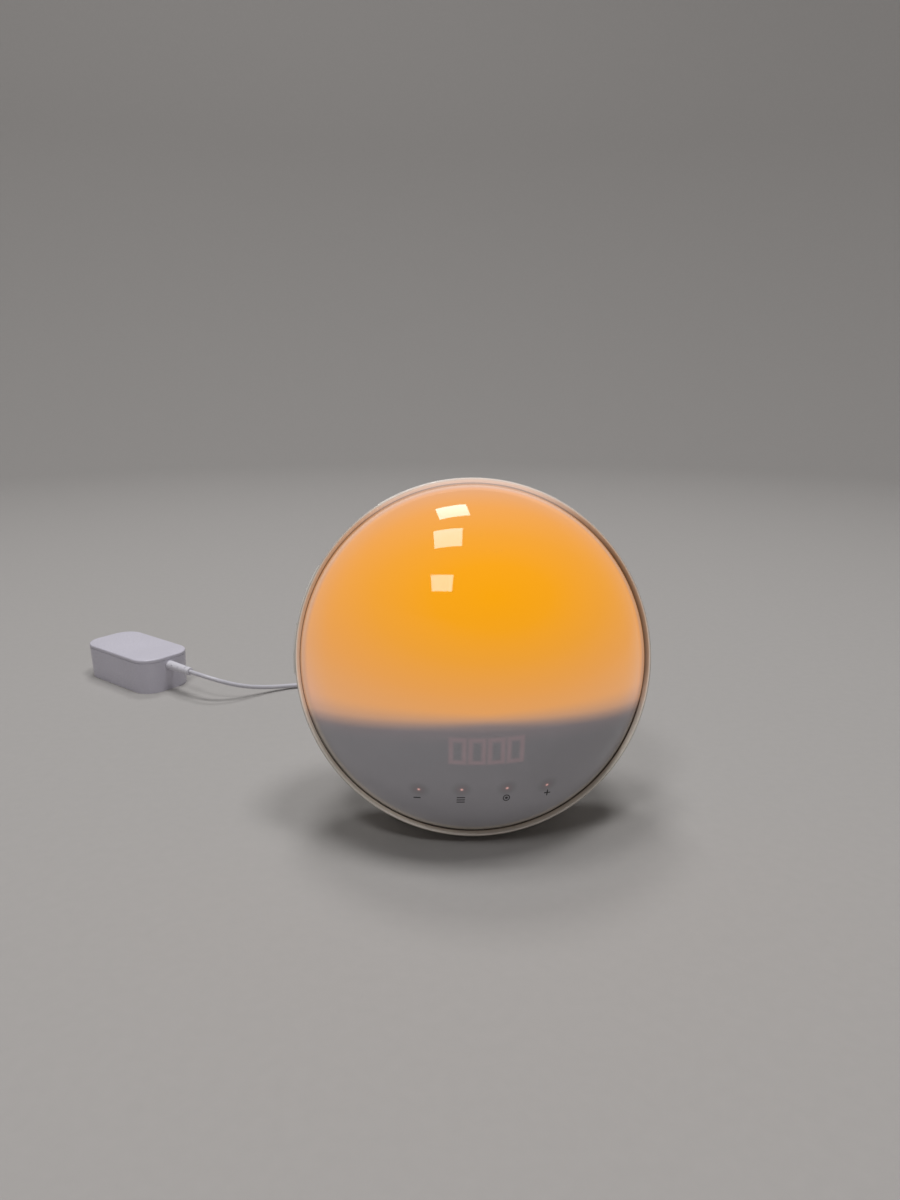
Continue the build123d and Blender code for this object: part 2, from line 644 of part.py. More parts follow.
def divider_gasket():
    with BuildPart() as strip:
        blocks(DIVIDER, -DIVIDER_T, 0, 2 * CREST_R, 3 * CREST_R)
        add(chamber(DOME_IN_R - SEAT, DOME_IN_R - GASKET_T), mode=Mode.INTERSECT)
    save(strip, "divider_gasket")


def lamp_board():
    with BuildPart() as board:
        posts(DIAL, LAMP_W - LAMP_BOARD_T, LAMP_W, LAMP_BOARD_R, [(0, LAMP_V)])
    save(board, "lamp_board")


def lamp_leds():
    places = []
    for ring_r, count in ((0.0, 1), (11.0, 6), (22.0, 12)):
        for step in range(count):
            du, dv = rim_place(ring_r, 360 * step / count)
            places.append((du, LAMP_V + dv))
    with BuildPart() as leds:
        blocks(DIAL, LAMP_W, LAMP_W + 0.9, 3.5, 3.5, places)
    save(leds, "lamp_leds")


def heat_sink():
    base_back = LAMP_W - LAMP_BOARD_T - SINK_BASE_T
    with BuildPart() as sink:
        posts(DIAL, base_back, LAMP_W - LAMP_BOARD_T, LAMP_BOARD_R, [(0, LAMP_V)])
        with BuildSketch(DIAL.offset(base_back - FIN_H)) as fins:
            with Locations(*[(u, LAMP_V) for u in FIN_US]):
                Rectangle(FIN_T, 2 * LAMP_BOARD_R)
            with Locations((0, LAMP_V)):
                Circle(LAMP_BOARD_R, mode=Mode.INTERSECT)
        extrude(fins.sketch, amount=FIN_H)
    save(sink, "heat_sink")


def display_tray():
    plate_r = DOME_EDGE_R - DOME_WALL - 2 * SEAT
    under = DIVIDER.offset(-DIVIDER_T)
    plate = (DISH_RIM_W - TRAY_T, DISH_RIM_W)
    board_ends = [PANEL.from_local_coords((0, y, -BOARD_T)) for y in (PANEL_LOW, PANEL_HIGH)]
    (low_v, low_w), (high_v, high_w) = [(p.X, p.Y) for p in map(SIDE.to_local_coords, board_ends)]
    rib_outline = ((low_v, plate[1]), (low_v, low_w), (high_v, high_w), (high_v, plate[1]))
    with BuildPart() as tray:
        posts(DIAL, *plate, plate_r)
        for place, _ in CASE_POSTS[2:]:
            posts(DIAL, plate[1], plate[1] + 5, POST_R, [place])
            posts(DIAL, plate[0] - 1, plate[1] + 6, SCREW_PILOT_R, [place], mode=Mode.SUBTRACT)
        for side in (-1, 1):
            with BuildSketch(SIDE.offset(side * RIB_U - RIB_T / 2)) as rib:
                with BuildLine():
                    Polyline(*rib_outline, close=True)
                make_face()
            extrude(rib.sketch, amount=RIB_T)
        keep_side(under, Keep.BOTTOM)
    save(tray, "display_tray")


def control_board():
    middle = (PANEL_HIGH + PANEL_LOW) / 2
    with BuildPart() as board:
        blocks(PANEL, -BOARD_T, 0, PANEL_W, PANEL_HIGH - PANEL_LOW, [(0, middle)])
        fillet(board.edges().filter_by(Axis(PANEL.origin, PANEL.z_dir)), 3)
    save(board, "control_board")


def display_module():
    with BuildPart() as module:
        blocks(PANEL, 0, DISPLAY_T, DISPLAY_W, DISPLAY_H, [(0, DISPLAY_Y)])
    save(module, "display_module")


def display_digits():
    """Seven light bars for each of four digits, and the colon between the pairs."""
    half_w, half_h = (DIGIT_W - SEGMENT_W) / 2, (DIGIT_H - SEGMENT_W) / 2
    flat_l, tall_l = DIGIT_W - 2 * SEGMENT_W - 0.2, DIGIT_H / 2 - SEGMENT_W - 0.5
    top = (DISPLAY_T, DISPLAY_T + SEGMENT_T)
    with BuildPart() as bars:
        for column in (-1.5, -0.5, 0.5, 1.5):
            u = column * DIGIT_PITCH + (0.6 if column > 0 else -0.6)
            flats = [(u, DISPLAY_Y + step * half_h) for step in (-1, 0, 1)]
            talls = [(u + a * half_w, DISPLAY_Y + b * half_h / 2) for a in (-1, 1) for b in (-1, 1)]
            blocks(PANEL, *top, flat_l, SEGMENT_W, flats)
            blocks(PANEL, *top, SEGMENT_W, tall_l, talls)
        posts(PANEL, *top, SEGMENT_W / 2, [(0, DISPLAY_Y - 2.2), (0, DISPLAY_Y + 2.2)])
    save(bars, "display_digits")


def touch_height(u, y):
    """Control board to just under the dome, at a place on the board."""
    reach = hypot(u, y) + TOUCH_R
    return sqrt(DOME_IN_R**2 - reach**2) - PANEL_OUT - FIT


def touch_pads():
    """Conductive foam rings that carry each touch key from the board to the dome."""
    with BuildPart() as pads:
        for u, y in TOUCH:
            tubes(PANEL, 0, touch_height(u, y), TOUCH_R, TOUCH_HOLE_R, [(u, y)])
    save(pads, "touch_pads")


def touch_leds():
    with BuildPart() as leds:
        blocks(PANEL, 0, 0.8, 1.6, 1.6, TOUCH)
    save(leds, "touch_leds")


def main_board():
    with BuildPart() as board:
        blocks(DIAL, MAIN_TOP - BOARD_T, MAIN_TOP, MAIN_W, MAIN_H, [MAIN_AT])
        posts(DIAL, MAIN_TOP - BOARD_T - 1, MAIN_TOP + 1, SCREW_R + SEAT, MAIN_POSTS, mode=Mode.SUBTRACT)
    save(board, "main_board")


def board_chips():
    u, v = MAIN_AT
    with BuildPart() as chips:
        blocks(DIAL, MAIN_TOP, MAIN_TOP + 1.6, 12, 12, [(u - 4, v + 6)])
        blocks(DIAL, MAIN_TOP, MAIN_TOP + 1.8, 8, 5, [(u + 11, v + 8), (u - 15, v - 3)])
        blocks(DIAL, MAIN_TOP, MAIN_TOP + 4.0, 14, 5, [(u - 2, v + 18)])
    save(chips, "board_chips")


def board_capacitors():
    u, v = MAIN_AT
    with BuildPart() as cans:
        posts(DIAL, MAIN_TOP, MAIN_TOP + 11, 4, [(u - 9, v - 14), (u + 1, v - 16)])
        posts(DIAL, MAIN_TOP, MAIN_TOP + 7, 5, [(u + 12, v - 6)])
    save(cans, "board_capacitors")


def dc_socket():
    with BuildPart() as socket:
        blocks(PLUG, SOCKET_BACK, -RECESS_WALL, SOCKET_W, SOCKET_W)
        posts(PLUG, -RECESS_WALL, -SEAT, SOCKET_NOSE_R)
        posts(PLUG, SOCKET_BACK + 2, 1, TIP_R + FIT, mode=Mode.SUBTRACT)
        posts(PLUG, SOCKET_BACK + 1, -1, PIN_R)
    save(socket, "dc_socket")


def speaker():
    u, v = SPEAKER_AT
    wall = -HOUSING_DEPTH + HOUSING_WALL
    flange = wall + SPEAKER_GASKET_T
    basket = flange + SPEAKER_FLANGE_T
    magnet = basket + BASKET_T
    axis = Axis(DIAL.from_local_coords((u, v, 0)), DIAL_OUT)
    side = Plane(origin=DIAL.from_local_coords((u, v, 0)), x_dir=(1, 0, 0), z_dir=AXIAL.z_dir)
    with BuildPart() as gasket:
        tubes(DIAL, wall, flange, SPEAKER_R, SPEAKER_R - 3, [(u, v)])
    save(gasket, "speaker_gasket")
    rim, foot = SPEAKER_R - 3, MAGNET_R - 1
    with BuildPart() as frame:
        outline = (
            (SPEAKER_R, flange), (SPEAKER_R, basket), (rim + 1, basket), (foot + 1, magnet),
            (0, magnet), (0, magnet - 1), (foot, magnet - 1), (rim, basket - 1), (rim, flange),
        )
        turned(outline, side, axis)
    save(frame, "speaker_frame")
    with BuildPart() as cone:
        outline = (
            (rim - FIT, flange), (rim - FIT, flange + 0.6), (rim - 2, flange + 0.6), (7, basket + 3.0),
            (0, basket + 2.2), (0, basket + 1.6), (7, basket + 2.4), (rim - 2.4, flange),
        )
        turned(outline, side, axis)
    save(cone, "speaker_cone")
    with BuildPart() as pot:
        posts(DIAL, magnet, magnet + MAGNET_T, MAGNET_R, [(u, v)])
    save(pot, "speaker_magnet")


def key_switches():
    with BuildPart() as strips:
        for angle in SWITCH_ANGLES:
            place = rim_place(SWITCH_BOARD_R + BOARD_T / 2, angle)
            blocks(DIAL, *SWITCH_W, SWITCH_BOARD_L, BOARD_T, [place], turn=-angle)
    save(strips, "switch_boards")
    with BuildPart() as switches:
        for angle in SWITCH_ANGLES:
            root = SWITCH_BOARD_R + BOARD_T
            body_t = SWITCH_TOP_R - 0.8 - root
            body, button = rim_place(root + body_t / 2, angle), rim_place(SWITCH_TOP_R - 0.4, angle)
            blocks(DIAL, KEY_MID - 3, KEY_MID + 3, 6, body_t, [body], turn=-angle)
            blocks(DIAL, KEY_MID - 1.5, KEY_MID + 1.5, 3, 0.8, [button], turn=-angle)
    save(switches, "key_switches")


def rim_key(name, angle, length, tab):
    """A curved key with end tabs behind the rim and a nub over its switch."""
    low, high = KEY_MID - KEY_W / 2, KEY_MID + KEY_W / 2
    tab_top = BAND_R - HOUSING_WALL - FIT
    with BuildPart() as key:
        rim_strip(angle, length, BAND_R - KEY_ROOT, BAND_R + KEY_PROUD, low, high)
        outer = key.faces().filter_by(GeomType.CYLINDER).sort_by(lambda face: face.radius)[-1]
        fillet(outer.edges(), 0.6)
        rim_strip(angle, length + 2 * tab, tab_top - TAB_T, tab_top, low, high)
        rim_strip(angle, 3, BAND_R - KEY_ROOT - NUB_T, BAND_R - KEY_ROOT + 1, KEY_MID - 1.5, KEY_MID + 1.5)
    save(key, name)


def antenna_gland():
    u, v = GLAND_AT
    axis = Axis(DIAL.from_local_coords((u, v, 0)), DIAL_OUT)
    side = Plane(origin=DIAL.from_local_coords((u, v, 0)), x_dir=(1, 0, 0), z_dir=AXIAL.z_dir)
    back, inside = -HOUSING_DEPTH, -HOUSING_DEPTH + HOUSING_WALL
    outline = (
        (0.9, inside + 1.2), (GLAND_R + 1.2, inside + 1.2), (GLAND_R + 1.2, inside), (GLAND_R, inside),
        (GLAND_R, back), (GLAND_R + 1.4, back), (GLAND_R + 1.0, back - 1.2), (1.7, back - 3.5),
        (0.9, back - 3.5),
    )
    with BuildPart() as gland:
        turned(outline, side, axis)
    save(gland, "antenna_gland")


def dc_plug():
    face, shoulder = PLUG_GAP, PLUG_GAP + PLUG_L
    tail = shoulder + RELIEF_L
    with BuildPart() as plug:
        outline = (
            (0, face), (PLUG_R - 0.8, face), (PLUG_R, face + 0.8), (PLUG_R, shoulder - 3),
            (PLUG_R - 1.6, shoulder), (RELIEF_R, shoulder), (RELIEF_END_R, tail), (0, tail),
        )
        turned(outline, PLUG_SIDE, PLUG_AXIS)
    save(plug, "dc_plug")
    with BuildPart() as tip:
        tubes(PLUG, face - TIP_L, face, TIP_R, TIP_BORE_R)
    save(tip, "plug_tip")


def cord_tube(name, route):
    """A tube along straight runs joined by tangent arcs as large as the runs allow."""
    corners = [Vector(*point) for point in route]
    radii = []
    for before, corner, after in zip(corners, corners[1:], corners[2:]):
        turn = (corner - before).get_angle(after - corner)
        run = min((corner - before).length, (after - corner).length)
        radii.append(0.45 * run / tan(radians(turn / 2)))
    with BuildPart() as tube:
        with BuildLine() as path:
            FilletPolyline(*corners, radius=radii)
        with BuildSketch(Plane(origin=path.line @ 0, z_dir=path.line % 0)):
            Circle(CORD_R)
        sweep(path=path.line)
    save(tube, name)
    print(name, "arc radii", [round(radius) for radius in radii], "length", round(path.wire().length, 1))


def coil_ring(inner_r, outer_r, low, high, mode=Mode.ADD):
    tubes(Plane.XY, low, high, outer_r, inner_r, [COIL_AT], mode=mode)


def cord_coil():
    with BuildPart() as coil:
        coil_ring(COIL_IN_R, COIL_OUT_R, COIL_LIFT, COIL_TOP)
    save(coil, "cord_coil")


def cord_tie():
    with BuildPart() as tie:
        coil_ring(COIL_IN_R - TIE_T, COIL_OUT_R + TIE_T, COIL_LIFT - TIE_T, COIL_TOP + TIE_T)
        front = (COIL_AT[0], COIL_AT[1] - TURN_R)
        blocks(Plane.XY, 0, COIL_TOP + 2 * TIE_T, TIE_W, 2 * TURN_R, [front], mode=Mode.INTERSECT)
        coil_ring(COIL_IN_R, COIL_OUT_R, COIL_LIFT, COIL_TOP, mode=Mode.SUBTRACT)
    save(tie, "cord_tie")


def adapter_block(inset, mode=Mode.ADD):
    """The adapter's rounded box, widening upwards by its draft, moved inwards by a wall."""
    corner = ADAPTER_CORNER - inset
    narrow = 2 * ADAPTER_D * tan(radians(ADAPTER_DRAFT))
    with BuildSketch(ADAPTER.offset(inset)) as outline:
        RectangleRounded(ADAPTER_L - narrow - 2 * inset, ADAPTER_W - narrow - 2 * inset, corner)
    extrude(outline.sketch, amount=ADAPTER_D - 2 * inset, taper=-ADAPTER_DRAFT, mode=mode)


def adapter_shell():
    """The adapter's closed case, with its relief hole."""
    hole = Plane(origin=RELIEF_SIDE.origin, x_dir=(0, 0, 1), z_dir=(*HEADING, 0))
    with BuildPart() as shell:
        adapter_block(0)
        fillet(shell.faces().sort_by(Axis.Z)[-1].edges(), ADAPTER_EDGE)
        adapter_block(ADAPTER_WALL, mode=Mode.SUBTRACT)
        posts(hole, ADAPTER_L / 2 - 2 * ADAPTER_WALL, ADAPTER_L, RELIEF_NECK_R + SEAT, mode=Mode.SUBTRACT)
    return shell.part


def adapter_case():
    """The lower part of the case, with a closed well for each folded blade and the shaft's bearings."""
    reach = BLADE_REACH + FIT
    low_y, high_y = HINGE_Y - BLADE_W / 2 - FIT, HINGE_Y + reach
    well_l, well_y = high_y - low_y + 2 * WELL_WALL, (low_y + high_y) / 2
    slot_w = BLADE_T + 2 * FIT
    well_w = BLADE_SPACING + slot_w + 2 * WELL_WALL
    with BuildPart() as case:
        add(adapter_shell())
        keep_side(Plane.XY.offset(ADAPTER_D - LID_T), Keep.BOTTOM)
        blocks(ADAPTER, ADAPTER_WALL, WELL_TOP, well_w, well_l, [(0, well_y)])
        slots = [(x, well_y) for x in BLADE_XS]
        blocks(ADAPTER, -1, SLOT_TOP, slot_w, high_y - low_y, slots, mode=Mode.SUBTRACT)
        posts(HINGE, -SHAFT_HALF_L - SEAT, SHAFT_HALF_L + SEAT, SHAFT_R + SHAFT_FIT, mode=Mode.SUBTRACT)
    save(case, "adapter_case")


def adapter_cover():
    """The upper part of the case, with a fine groove all round at the seam."""
    seam = ADAPTER_D - LID_T
    with BuildPart() as groove:
        adapter_block(0)
        adapter_block(SEAM_LINE, mode=Mode.SUBTRACT)
        blocks(ADAPTER, seam, seam + SEAM_LINE, 2 * ADAPTER_L, 2 * ADAPTER_W, mode=Mode.INTERSECT)
    with BuildPart() as cover:
        add(adapter_shell())
        keep_side(Plane.XY.offset(seam), Keep.TOP)
        add(groove.part, mode=Mode.SUBTRACT)
    save(cover, "adapter_cover")


def adapter_blades():
    """Two folding blades with round roots on one shaft, folded flat along the case."""
    with BuildPart() as blades:
        for x in BLADE_XS:
            side = HINGE.offset(x - BLADE_T / 2)
            posts(side, 0, BLADE_T, BLADE_W / 2)
            blocks(side, 0, BLADE_T, BLADE_REACH, BLADE_W, [(BLADE_REACH / 2, 0)])
        tips = blades.edges().filter_by(Axis.Z).sort_by(Axis(ADAPTER.origin, ADAPTER.y_dir))[-4:]
        chamfer(tips, 0.4)
        posts(HINGE, -SHAFT_HALF_L, SHAFT_HALF_L, SHAFT_R, mode=Mode.SUBTRACT)
    save(blades, "adapter_blades")
    with BuildPart() as shaft:
        posts(HINGE, -SHAFT_HALF_L, SHAFT_HALF_L, SHAFT_R)
    save(shaft, "blade_shaft")


def adapter_relief():
    """The cord's tapered sleeve, held in the case by its inner collar, with dots and an end ring."""
    half = ADAPTER_L / 2
    collar_r = RELIEF_NECK_R + 1
    low = ADAPTER_D - ADAPTER_RELIEF_Z + collar_r
    inside = half - low * tan(radians(ADAPTER_DRAFT)) - ADAPTER_WALL - SEAT
    end = half + ADAPTER_RELIEF_L
    outline = [
        (0, inside - 1.5), (collar_r, inside - 1.5), (collar_r, inside),
        (RELIEF_NECK_R, inside), (RELIEF_NECK_R - 0.5, end - 4.6), (RELIEF_NECK_R - 0.9, end - 4.5),
        (RELIEF_NECK_R - 0.9, end - 3.9), (RELIEF_NECK_R - 0.5, end - 3.8),
        (RELIEF_NECK_R - 0.6, end - 0.4), (RELIEF_NECK_R - 1, end), (0, end),
    ]
    ahead = Vector(*HEADING, 0)
    with BuildPart() as relief:
        turned(outline, RELIEF_SIDE, Axis(RELIEF_SIDE.origin, (*HEADING, 0)))
        for reach in RELIEF_DOTS:
            at = RELIEF_SIDE.origin + ahead * (half + reach)
            dot = Plane(origin=at, x_dir=ahead, z_dir=(HEADING[1], -HEADING[0], 0.6))
            posts(dot, RELIEF_NECK_R - 1, RELIEF_NECK_R + 1, DOT_R, mode=Mode.SUBTRACT)
    save(relief, "adapter_strain_relief")


def adapter_inside():
    top = WELL_TOP + SEAT + BOARD_T
    room = ADAPTER_D - ADAPTER_WALL - top
    with BuildPart() as board:
        blocks(ADAPTER, top - BOARD_T, top, ADAPTER_L - 16, ADAPTER_W - 10)
        fillet(board.edges().filter_by(Axis.Z), ADAPTER_CORNER - 2 * ADAPTER_WALL)
    save(board, "adapter_board")
    with BuildPart() as parts:
        blocks(ADAPTER, top, top + room - COVER_GAP, 18, 20, [(-2, 0)])
        blocks(ADAPTER, top, top + room - COVER_GAP - 3, 8, 14, [(20, 0)])
        posts(ADAPTER, top, top + room - COVER_GAP, 5, [(-22, 7), (-22, -7)])
    save(parts, "adapter_components")


os.makedirs("parts", exist_ok=True)
front_dome()
bezel_ring()
rear_housing()
foot_plate()
rubber_feet()
foot_tips = [(place, STAND_POST_TOP - 5) for place in STAND_SCREWS]
screws("foot_screws", Plane.XY, STAND_GAP + FOOT_SCREW_SINK, FOOT_SCREW_HEAD_T, foot_tips)
case_tips = [(place, top + SCREW_BITE) for place, top in CASE_POSTS]
screws("case_screws", DIAL, SCREW_SEAT_W, SCREW_HEAD_T, case_tips)
reflector()
light_divider()
divider_gasket()
lamp_board()
lamp_leds()
heat_sink()
display_tray()
control_board()
display_module()
display_digits()
touch_pads()
touch_leds()
main_board()
board_chips()
board_capacitors()
board_tips = [(place, MAIN_TOP - BOARD_SCREW_L) for place in MAIN_POSTS]
screws("board_screws", DIAL, MAIN_TOP, BOARD_SCREW_HEAD_T, board_tips)
dc_socket()
speaker()
key_switches()
for key_name, key_angle in SIDE_KEYS.items():
    rim_key(key_name, key_angle, SIDE_KEY_L, SIDE_TAB)
rim_key("snooze_bar", 0.0, SNOOZE_L, SNOOZE_TAB)
antenna_gland()
dc_plug()
cord_tube("cord_near", NEAR_ROUTE)
cord_tube("cord_far", FAR_ROUTE)
cord_coil()
cord_tie()
adapter_case()
adapter_cover()
adapter_blades()
adapter_relief()
adapter_inside()
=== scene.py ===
"""Looks of a sunrise alarm clock with its mains adapter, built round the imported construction.

Lengths inside the classes are millimetres unless a class says otherwise, and become metres when a
mesh is made. The clock is drawn on its leaning dial: u runs right, v up along the dial and w out of
the front, from the middle of the front ring's crest.
"""

import logging
import math
from dataclasses import dataclass
from enum import Enum

import bpy
import numpy as np
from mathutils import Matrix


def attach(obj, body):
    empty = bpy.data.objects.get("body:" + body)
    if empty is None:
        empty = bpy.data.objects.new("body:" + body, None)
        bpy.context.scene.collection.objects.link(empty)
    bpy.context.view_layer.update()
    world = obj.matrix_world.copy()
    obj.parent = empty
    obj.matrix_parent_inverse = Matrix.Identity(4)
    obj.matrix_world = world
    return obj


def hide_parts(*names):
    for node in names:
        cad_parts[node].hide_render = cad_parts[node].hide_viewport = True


Tree = bpy.types.NodeTree
Socket = bpy.types.NodeSocket
Colour = Socket | tuple

MM = 0.001
SMOOTH = {"interpolation_type": "SMOOTHSTEP"}
# Sockets of a Mix node that mixes colours: its factor, its two colours and its result.
SHARE, UNDER, OVER, MIXED = 0, 6, 7, 2
LOG = logging.getLogger("sunrise_clock")

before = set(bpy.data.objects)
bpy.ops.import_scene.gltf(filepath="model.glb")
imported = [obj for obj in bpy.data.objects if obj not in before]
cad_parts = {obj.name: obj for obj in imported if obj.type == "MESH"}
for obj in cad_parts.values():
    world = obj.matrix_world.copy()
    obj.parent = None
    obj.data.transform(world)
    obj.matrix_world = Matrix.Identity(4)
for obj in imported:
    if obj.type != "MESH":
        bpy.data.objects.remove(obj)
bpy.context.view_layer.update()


class Body(Enum):
    """The moving bodies that a new piece can ride on."""

    CLOCK = "clock"
    SUPPLY = "supply"


# ---------------------------------------------------------------- frames and meshes


@dataclass(frozen=True)
class Dial:
    """The leaning front of the clock: its driving sizes and its place in space."""

    lean: float = 18.4
    ring_clear: float = 4.8
    crest_r: float = 94.0
    ring_proud: float = 0.6
    bevel_in: float = 1.9
    bevel_down: float = 3.3
    groove: float = 0.3
    dome_rise: float = 54.2
    housing_depth: float = 44.0
    band_depth: float = 15.0
    ring_depth: float = 6.0
    flange_t: float = 1.2

    @property
    def band_r(self) -> float:
        """Radius of the rim's outer wall."""
        return self.crest_r + self.ring_proud

    @property
    def dome_edge_r(self) -> float:
        """Radius at which the dome meets the groove inside the ring."""
        return self.crest_r - self.bevel_in - self.groove

    @property
    def sphere_r(self) -> float:
        """Radius of the sphere that the dome is a cap of."""
        return (self.dome_edge_r**2 + self.dome_rise**2) / (2 * self.dome_rise)

    @property
    def sphere_w(self) -> float:
        """Height of that sphere's centre over the crest."""
        return self.dome_rise - self.bevel_down - self.sphere_r

    @property
    def centre(self) -> np.ndarray:
        """Middle of the crest: the clock's depth is centred on y = 0 and its ring clears the table.

        Returns:
            The point.
        """
        lean = math.radians(self.lean)
        round_r = self.housing_depth - self.band_depth
        flat_r = self.band_r - round_r
        front = -self.sphere_w * math.cos(lean) - self.sphere_r
        rear = self.band_depth * math.cos(lean) + flat_r * math.sin(lean) + round_r
        return np.array([0.0, -(front + rear) / 2, self.crest_r * math.cos(lean) + self.ring_clear])

    @property
    def tip(self) -> float:
        """Turn about X, in radians, that takes the flat frame to the dial's."""
        return math.radians(90 - self.lean)

    def world(self, u: np.ndarray, v: np.ndarray, w: np.ndarray) -> np.ndarray:
        """Turn dial coordinates into places in space.

        The dial's frame is turned about X by its tip, so y = v cos(tip) - w sin(tip) and
        z = v sin(tip) + w cos(tip), from the crest's middle.

        Args:
            u: distances to the right.
            v: distances up along the dial.
            w: distances out of the front.

        Returns:
            The points, with a last axis of three.
        """
        y = v * math.cos(self.tip) - w * math.sin(self.tip)
        z = v * math.sin(self.tip) + w * math.cos(self.tip)
        return np.stack(np.broadcast_arrays(u, y, z), axis=-1) + self.centre

    def on_dome(self, u: np.ndarray, v: np.ndarray, height: np.ndarray) -> np.ndarray:
        """Places over the dome: w = c + sqrt((R + height)^2 - u^2 - v^2).

        Args:
            u: distances to the right.
            v: distances up along the dial.
            height: distances out of the dome's face.

        Returns:
            The points, with a last axis of three.
        """
        w = self.sphere_w + np.sqrt((self.sphere_r + height) ** 2 - u**2 - v**2)
        return self.world(u, v, w)


DIAL = Dial()


def put_object(name: str, data: bpy.types.ID) -> bpy.types.Object:
    """Put new data into the scene as an object at the origin.

    Args:
        name: name of the object.
        data: its mesh, curve, lamp or camera.

    Returns:
        The new object.
    """
    placed = bpy.data.objects.new(name, data)
    bpy.context.scene.collection.objects.link(placed)
    return placed


def put_mesh(name: str, points: np.ndarray, faces: list, crease: float = 35.0) -> bpy.types.Object:
    """Make a smooth object at the origin from points in millimetres, with its faces outwards.

    The signed volume is the sum of a . (b x c) / 6 over the faces' triangles, and a negative one turns
    every face round.

    Args:
        name: name of the piece.
        points: vertices, one row each.
        faces: arrays of vertex numbers, each with one row for each face.
        crease: edges sharper than this many degrees stay crisp.

    Returns:
        The new object.
    """
    volume = 0.0
    for group in faces:
        for second in range(1, group.shape[1] - 1):
            a, b, c = (points[group[:, column]] for column in (0, second, second + 1))
            volume += float(np.einsum("ij,ij->", a, np.cross(b, c)))
    if volume < 0:
        faces = [group[:, ::-1] for group in faces]
    mesh = bpy.data.meshes.new(name)
    mesh.from_pydata(points * MM, [], [row for group in faces for row in group.tolist()])
    mesh.polygons.foreach_set("use_smooth", np.ones(len(mesh.polygons), dtype=bool))
    mesh.set_sharp_from_angle(angle=math.radians(crease))
    mesh.update()
    return put_object(name, mesh)


def around(steps: int) -> np.ndarray:
    """Angles of even steps round a circle, from zero."""
    return np.linspace(0.0, 2 * math.pi, steps, endpoint=False)


def grid_faces(rows: int, columns: int, first: int, wrap_rows: bool) -> np.ndarray:
    """Quads of a grid whose columns close round, and whose rows may too.

    Args:
        rows: number of rows.
        columns: number of columns.
        first: number of the grid's first vertex.
        wrap_rows: whether the last row joins the first.

    Returns:
        The quads, one row each.
    """
    row, column = np.meshgrid(np.arange(rows if wrap_rows else rows - 1), np.arange(columns), indexing="ij")
    below, beside = (row + 1) % rows, (column + 1) % columns
    corners = ((row, column), (row, beside), (below, beside), (below, column))
    return np.stack([(line * columns + place).ravel() for line, place in corners], axis=1) + first


def shell_faces(rows: int, columns: int) -> list:
    """Faces of a grid that closes round, with a pole before its first row and after its last.

    Args:
        rows: number of rows.
        columns: number of columns.

    Returns:
        The quads and the two fans, for vertices in the order grid, first pole, last pole.
    """
    ring = np.arange(columns)
    after = (ring + 1) % columns
    last_row = (rows - 1) * columns
    pole = rows * columns
    top = np.stack([np.full(columns, pole), after, ring], axis=1)
    bottom = np.stack([np.full(columns, pole + 1), last_row + ring, last_row + after], axis=1)
    return [grid_faces(rows, columns, 0, wrap_rows=False), top, bottom]


def turned(name: str, profile: np.ndarray, segments: int = 288) -> bpy.types.Object:
    """Turn a half section about the dial's axis.

    A point at angle a is (r sin a, r cos a, w). A profile that starts and ends on the axis gets a pole
    at each end, and any other one closes on itself.

    Args:
        name: name of the piece.
        profile: rows of (r, w).
        segments: steps round the axis.

    Returns:
        The new object.
    """
    on_axis = profile[0, 0] == 0.0
    body = profile[1:-1] if on_axis else profile
    angle = around(segments)
    radius, height = body[:, :1], body[:, 1:]
    grid = DIAL.world(radius * np.sin(angle), radius * np.cos(angle), height).reshape(-1, 3)
    if not on_axis:
        return put_mesh(name, grid, [grid_faces(len(body), segments, 0, wrap_rows=True)])
    ends = profile[[0, -1], 1]
    poles = DIAL.world(np.zeros(2), np.zeros(2), ends)
    return put_mesh(name, np.concatenate([grid, poles]), shell_faces(len(body), segments))


def rounded(corners: list, radii: tuple, steps: int) -> np.ndarray:
    """A closed outline with its corners rounded.

    Each corner gives way to a quadratic curve between the points one radius away along its two sides:
    (1-t)^2 a + 2t(1-t) corner + t^2 b.

    Args:
        corners: the outline's corners in order.
        radii: distance from each corner at which its curve starts.
        steps: points along each curve.

    Returns:
        The outline's points, one row each.
    """
    points = np.array(corners, dtype=float)
    before, after = np.roll(points, 1, axis=0) - points, np.roll(points, -1, axis=0) - points
    reach = np.array(radii, dtype=float)[:, None]
    start = points + before / np.linalg.norm(before, axis=1, keepdims=True) * reach
    end = points + after / np.linalg.norm(after, axis=1, keepdims=True) * reach
    t = np.linspace(0.0, 1.0, steps)[None, :, None]
    curve = (1 - t) ** 2 * start[:, None] + 2 * t * (1 - t) * points[:, None] + t**2 * end[:, None]
    return curve.reshape(-1, points.shape[1])


# ---------------------------------------------------------------- finishes


def linear(code: str) -> tuple[float, float, float, float]:
    """Turn an sRGB hex colour into linear red, green, blue and a full alpha."""
    levels = [int(code[at : at + 2], 16) / 255 for at in (1, 3, 5)]
    return (*[c / 12.92 if c <= 0.04045 else ((c + 0.055) / 1.055) ** 2.4 for c in levels], 1.0)


def fill(tree: Tree, node: bpy.types.Node, inputs: dict) -> None:
    """Set a node's inputs.

    Args:
        tree: the node tree.
        node: the node.
        inputs: value, or socket to link from, for each input's name or number.
    """
    for key, value in inputs.items():
        if isinstance(value, Socket):
            tree.links.new(value, node.inputs[key])
        else:
            node.inputs[key].default_value = value


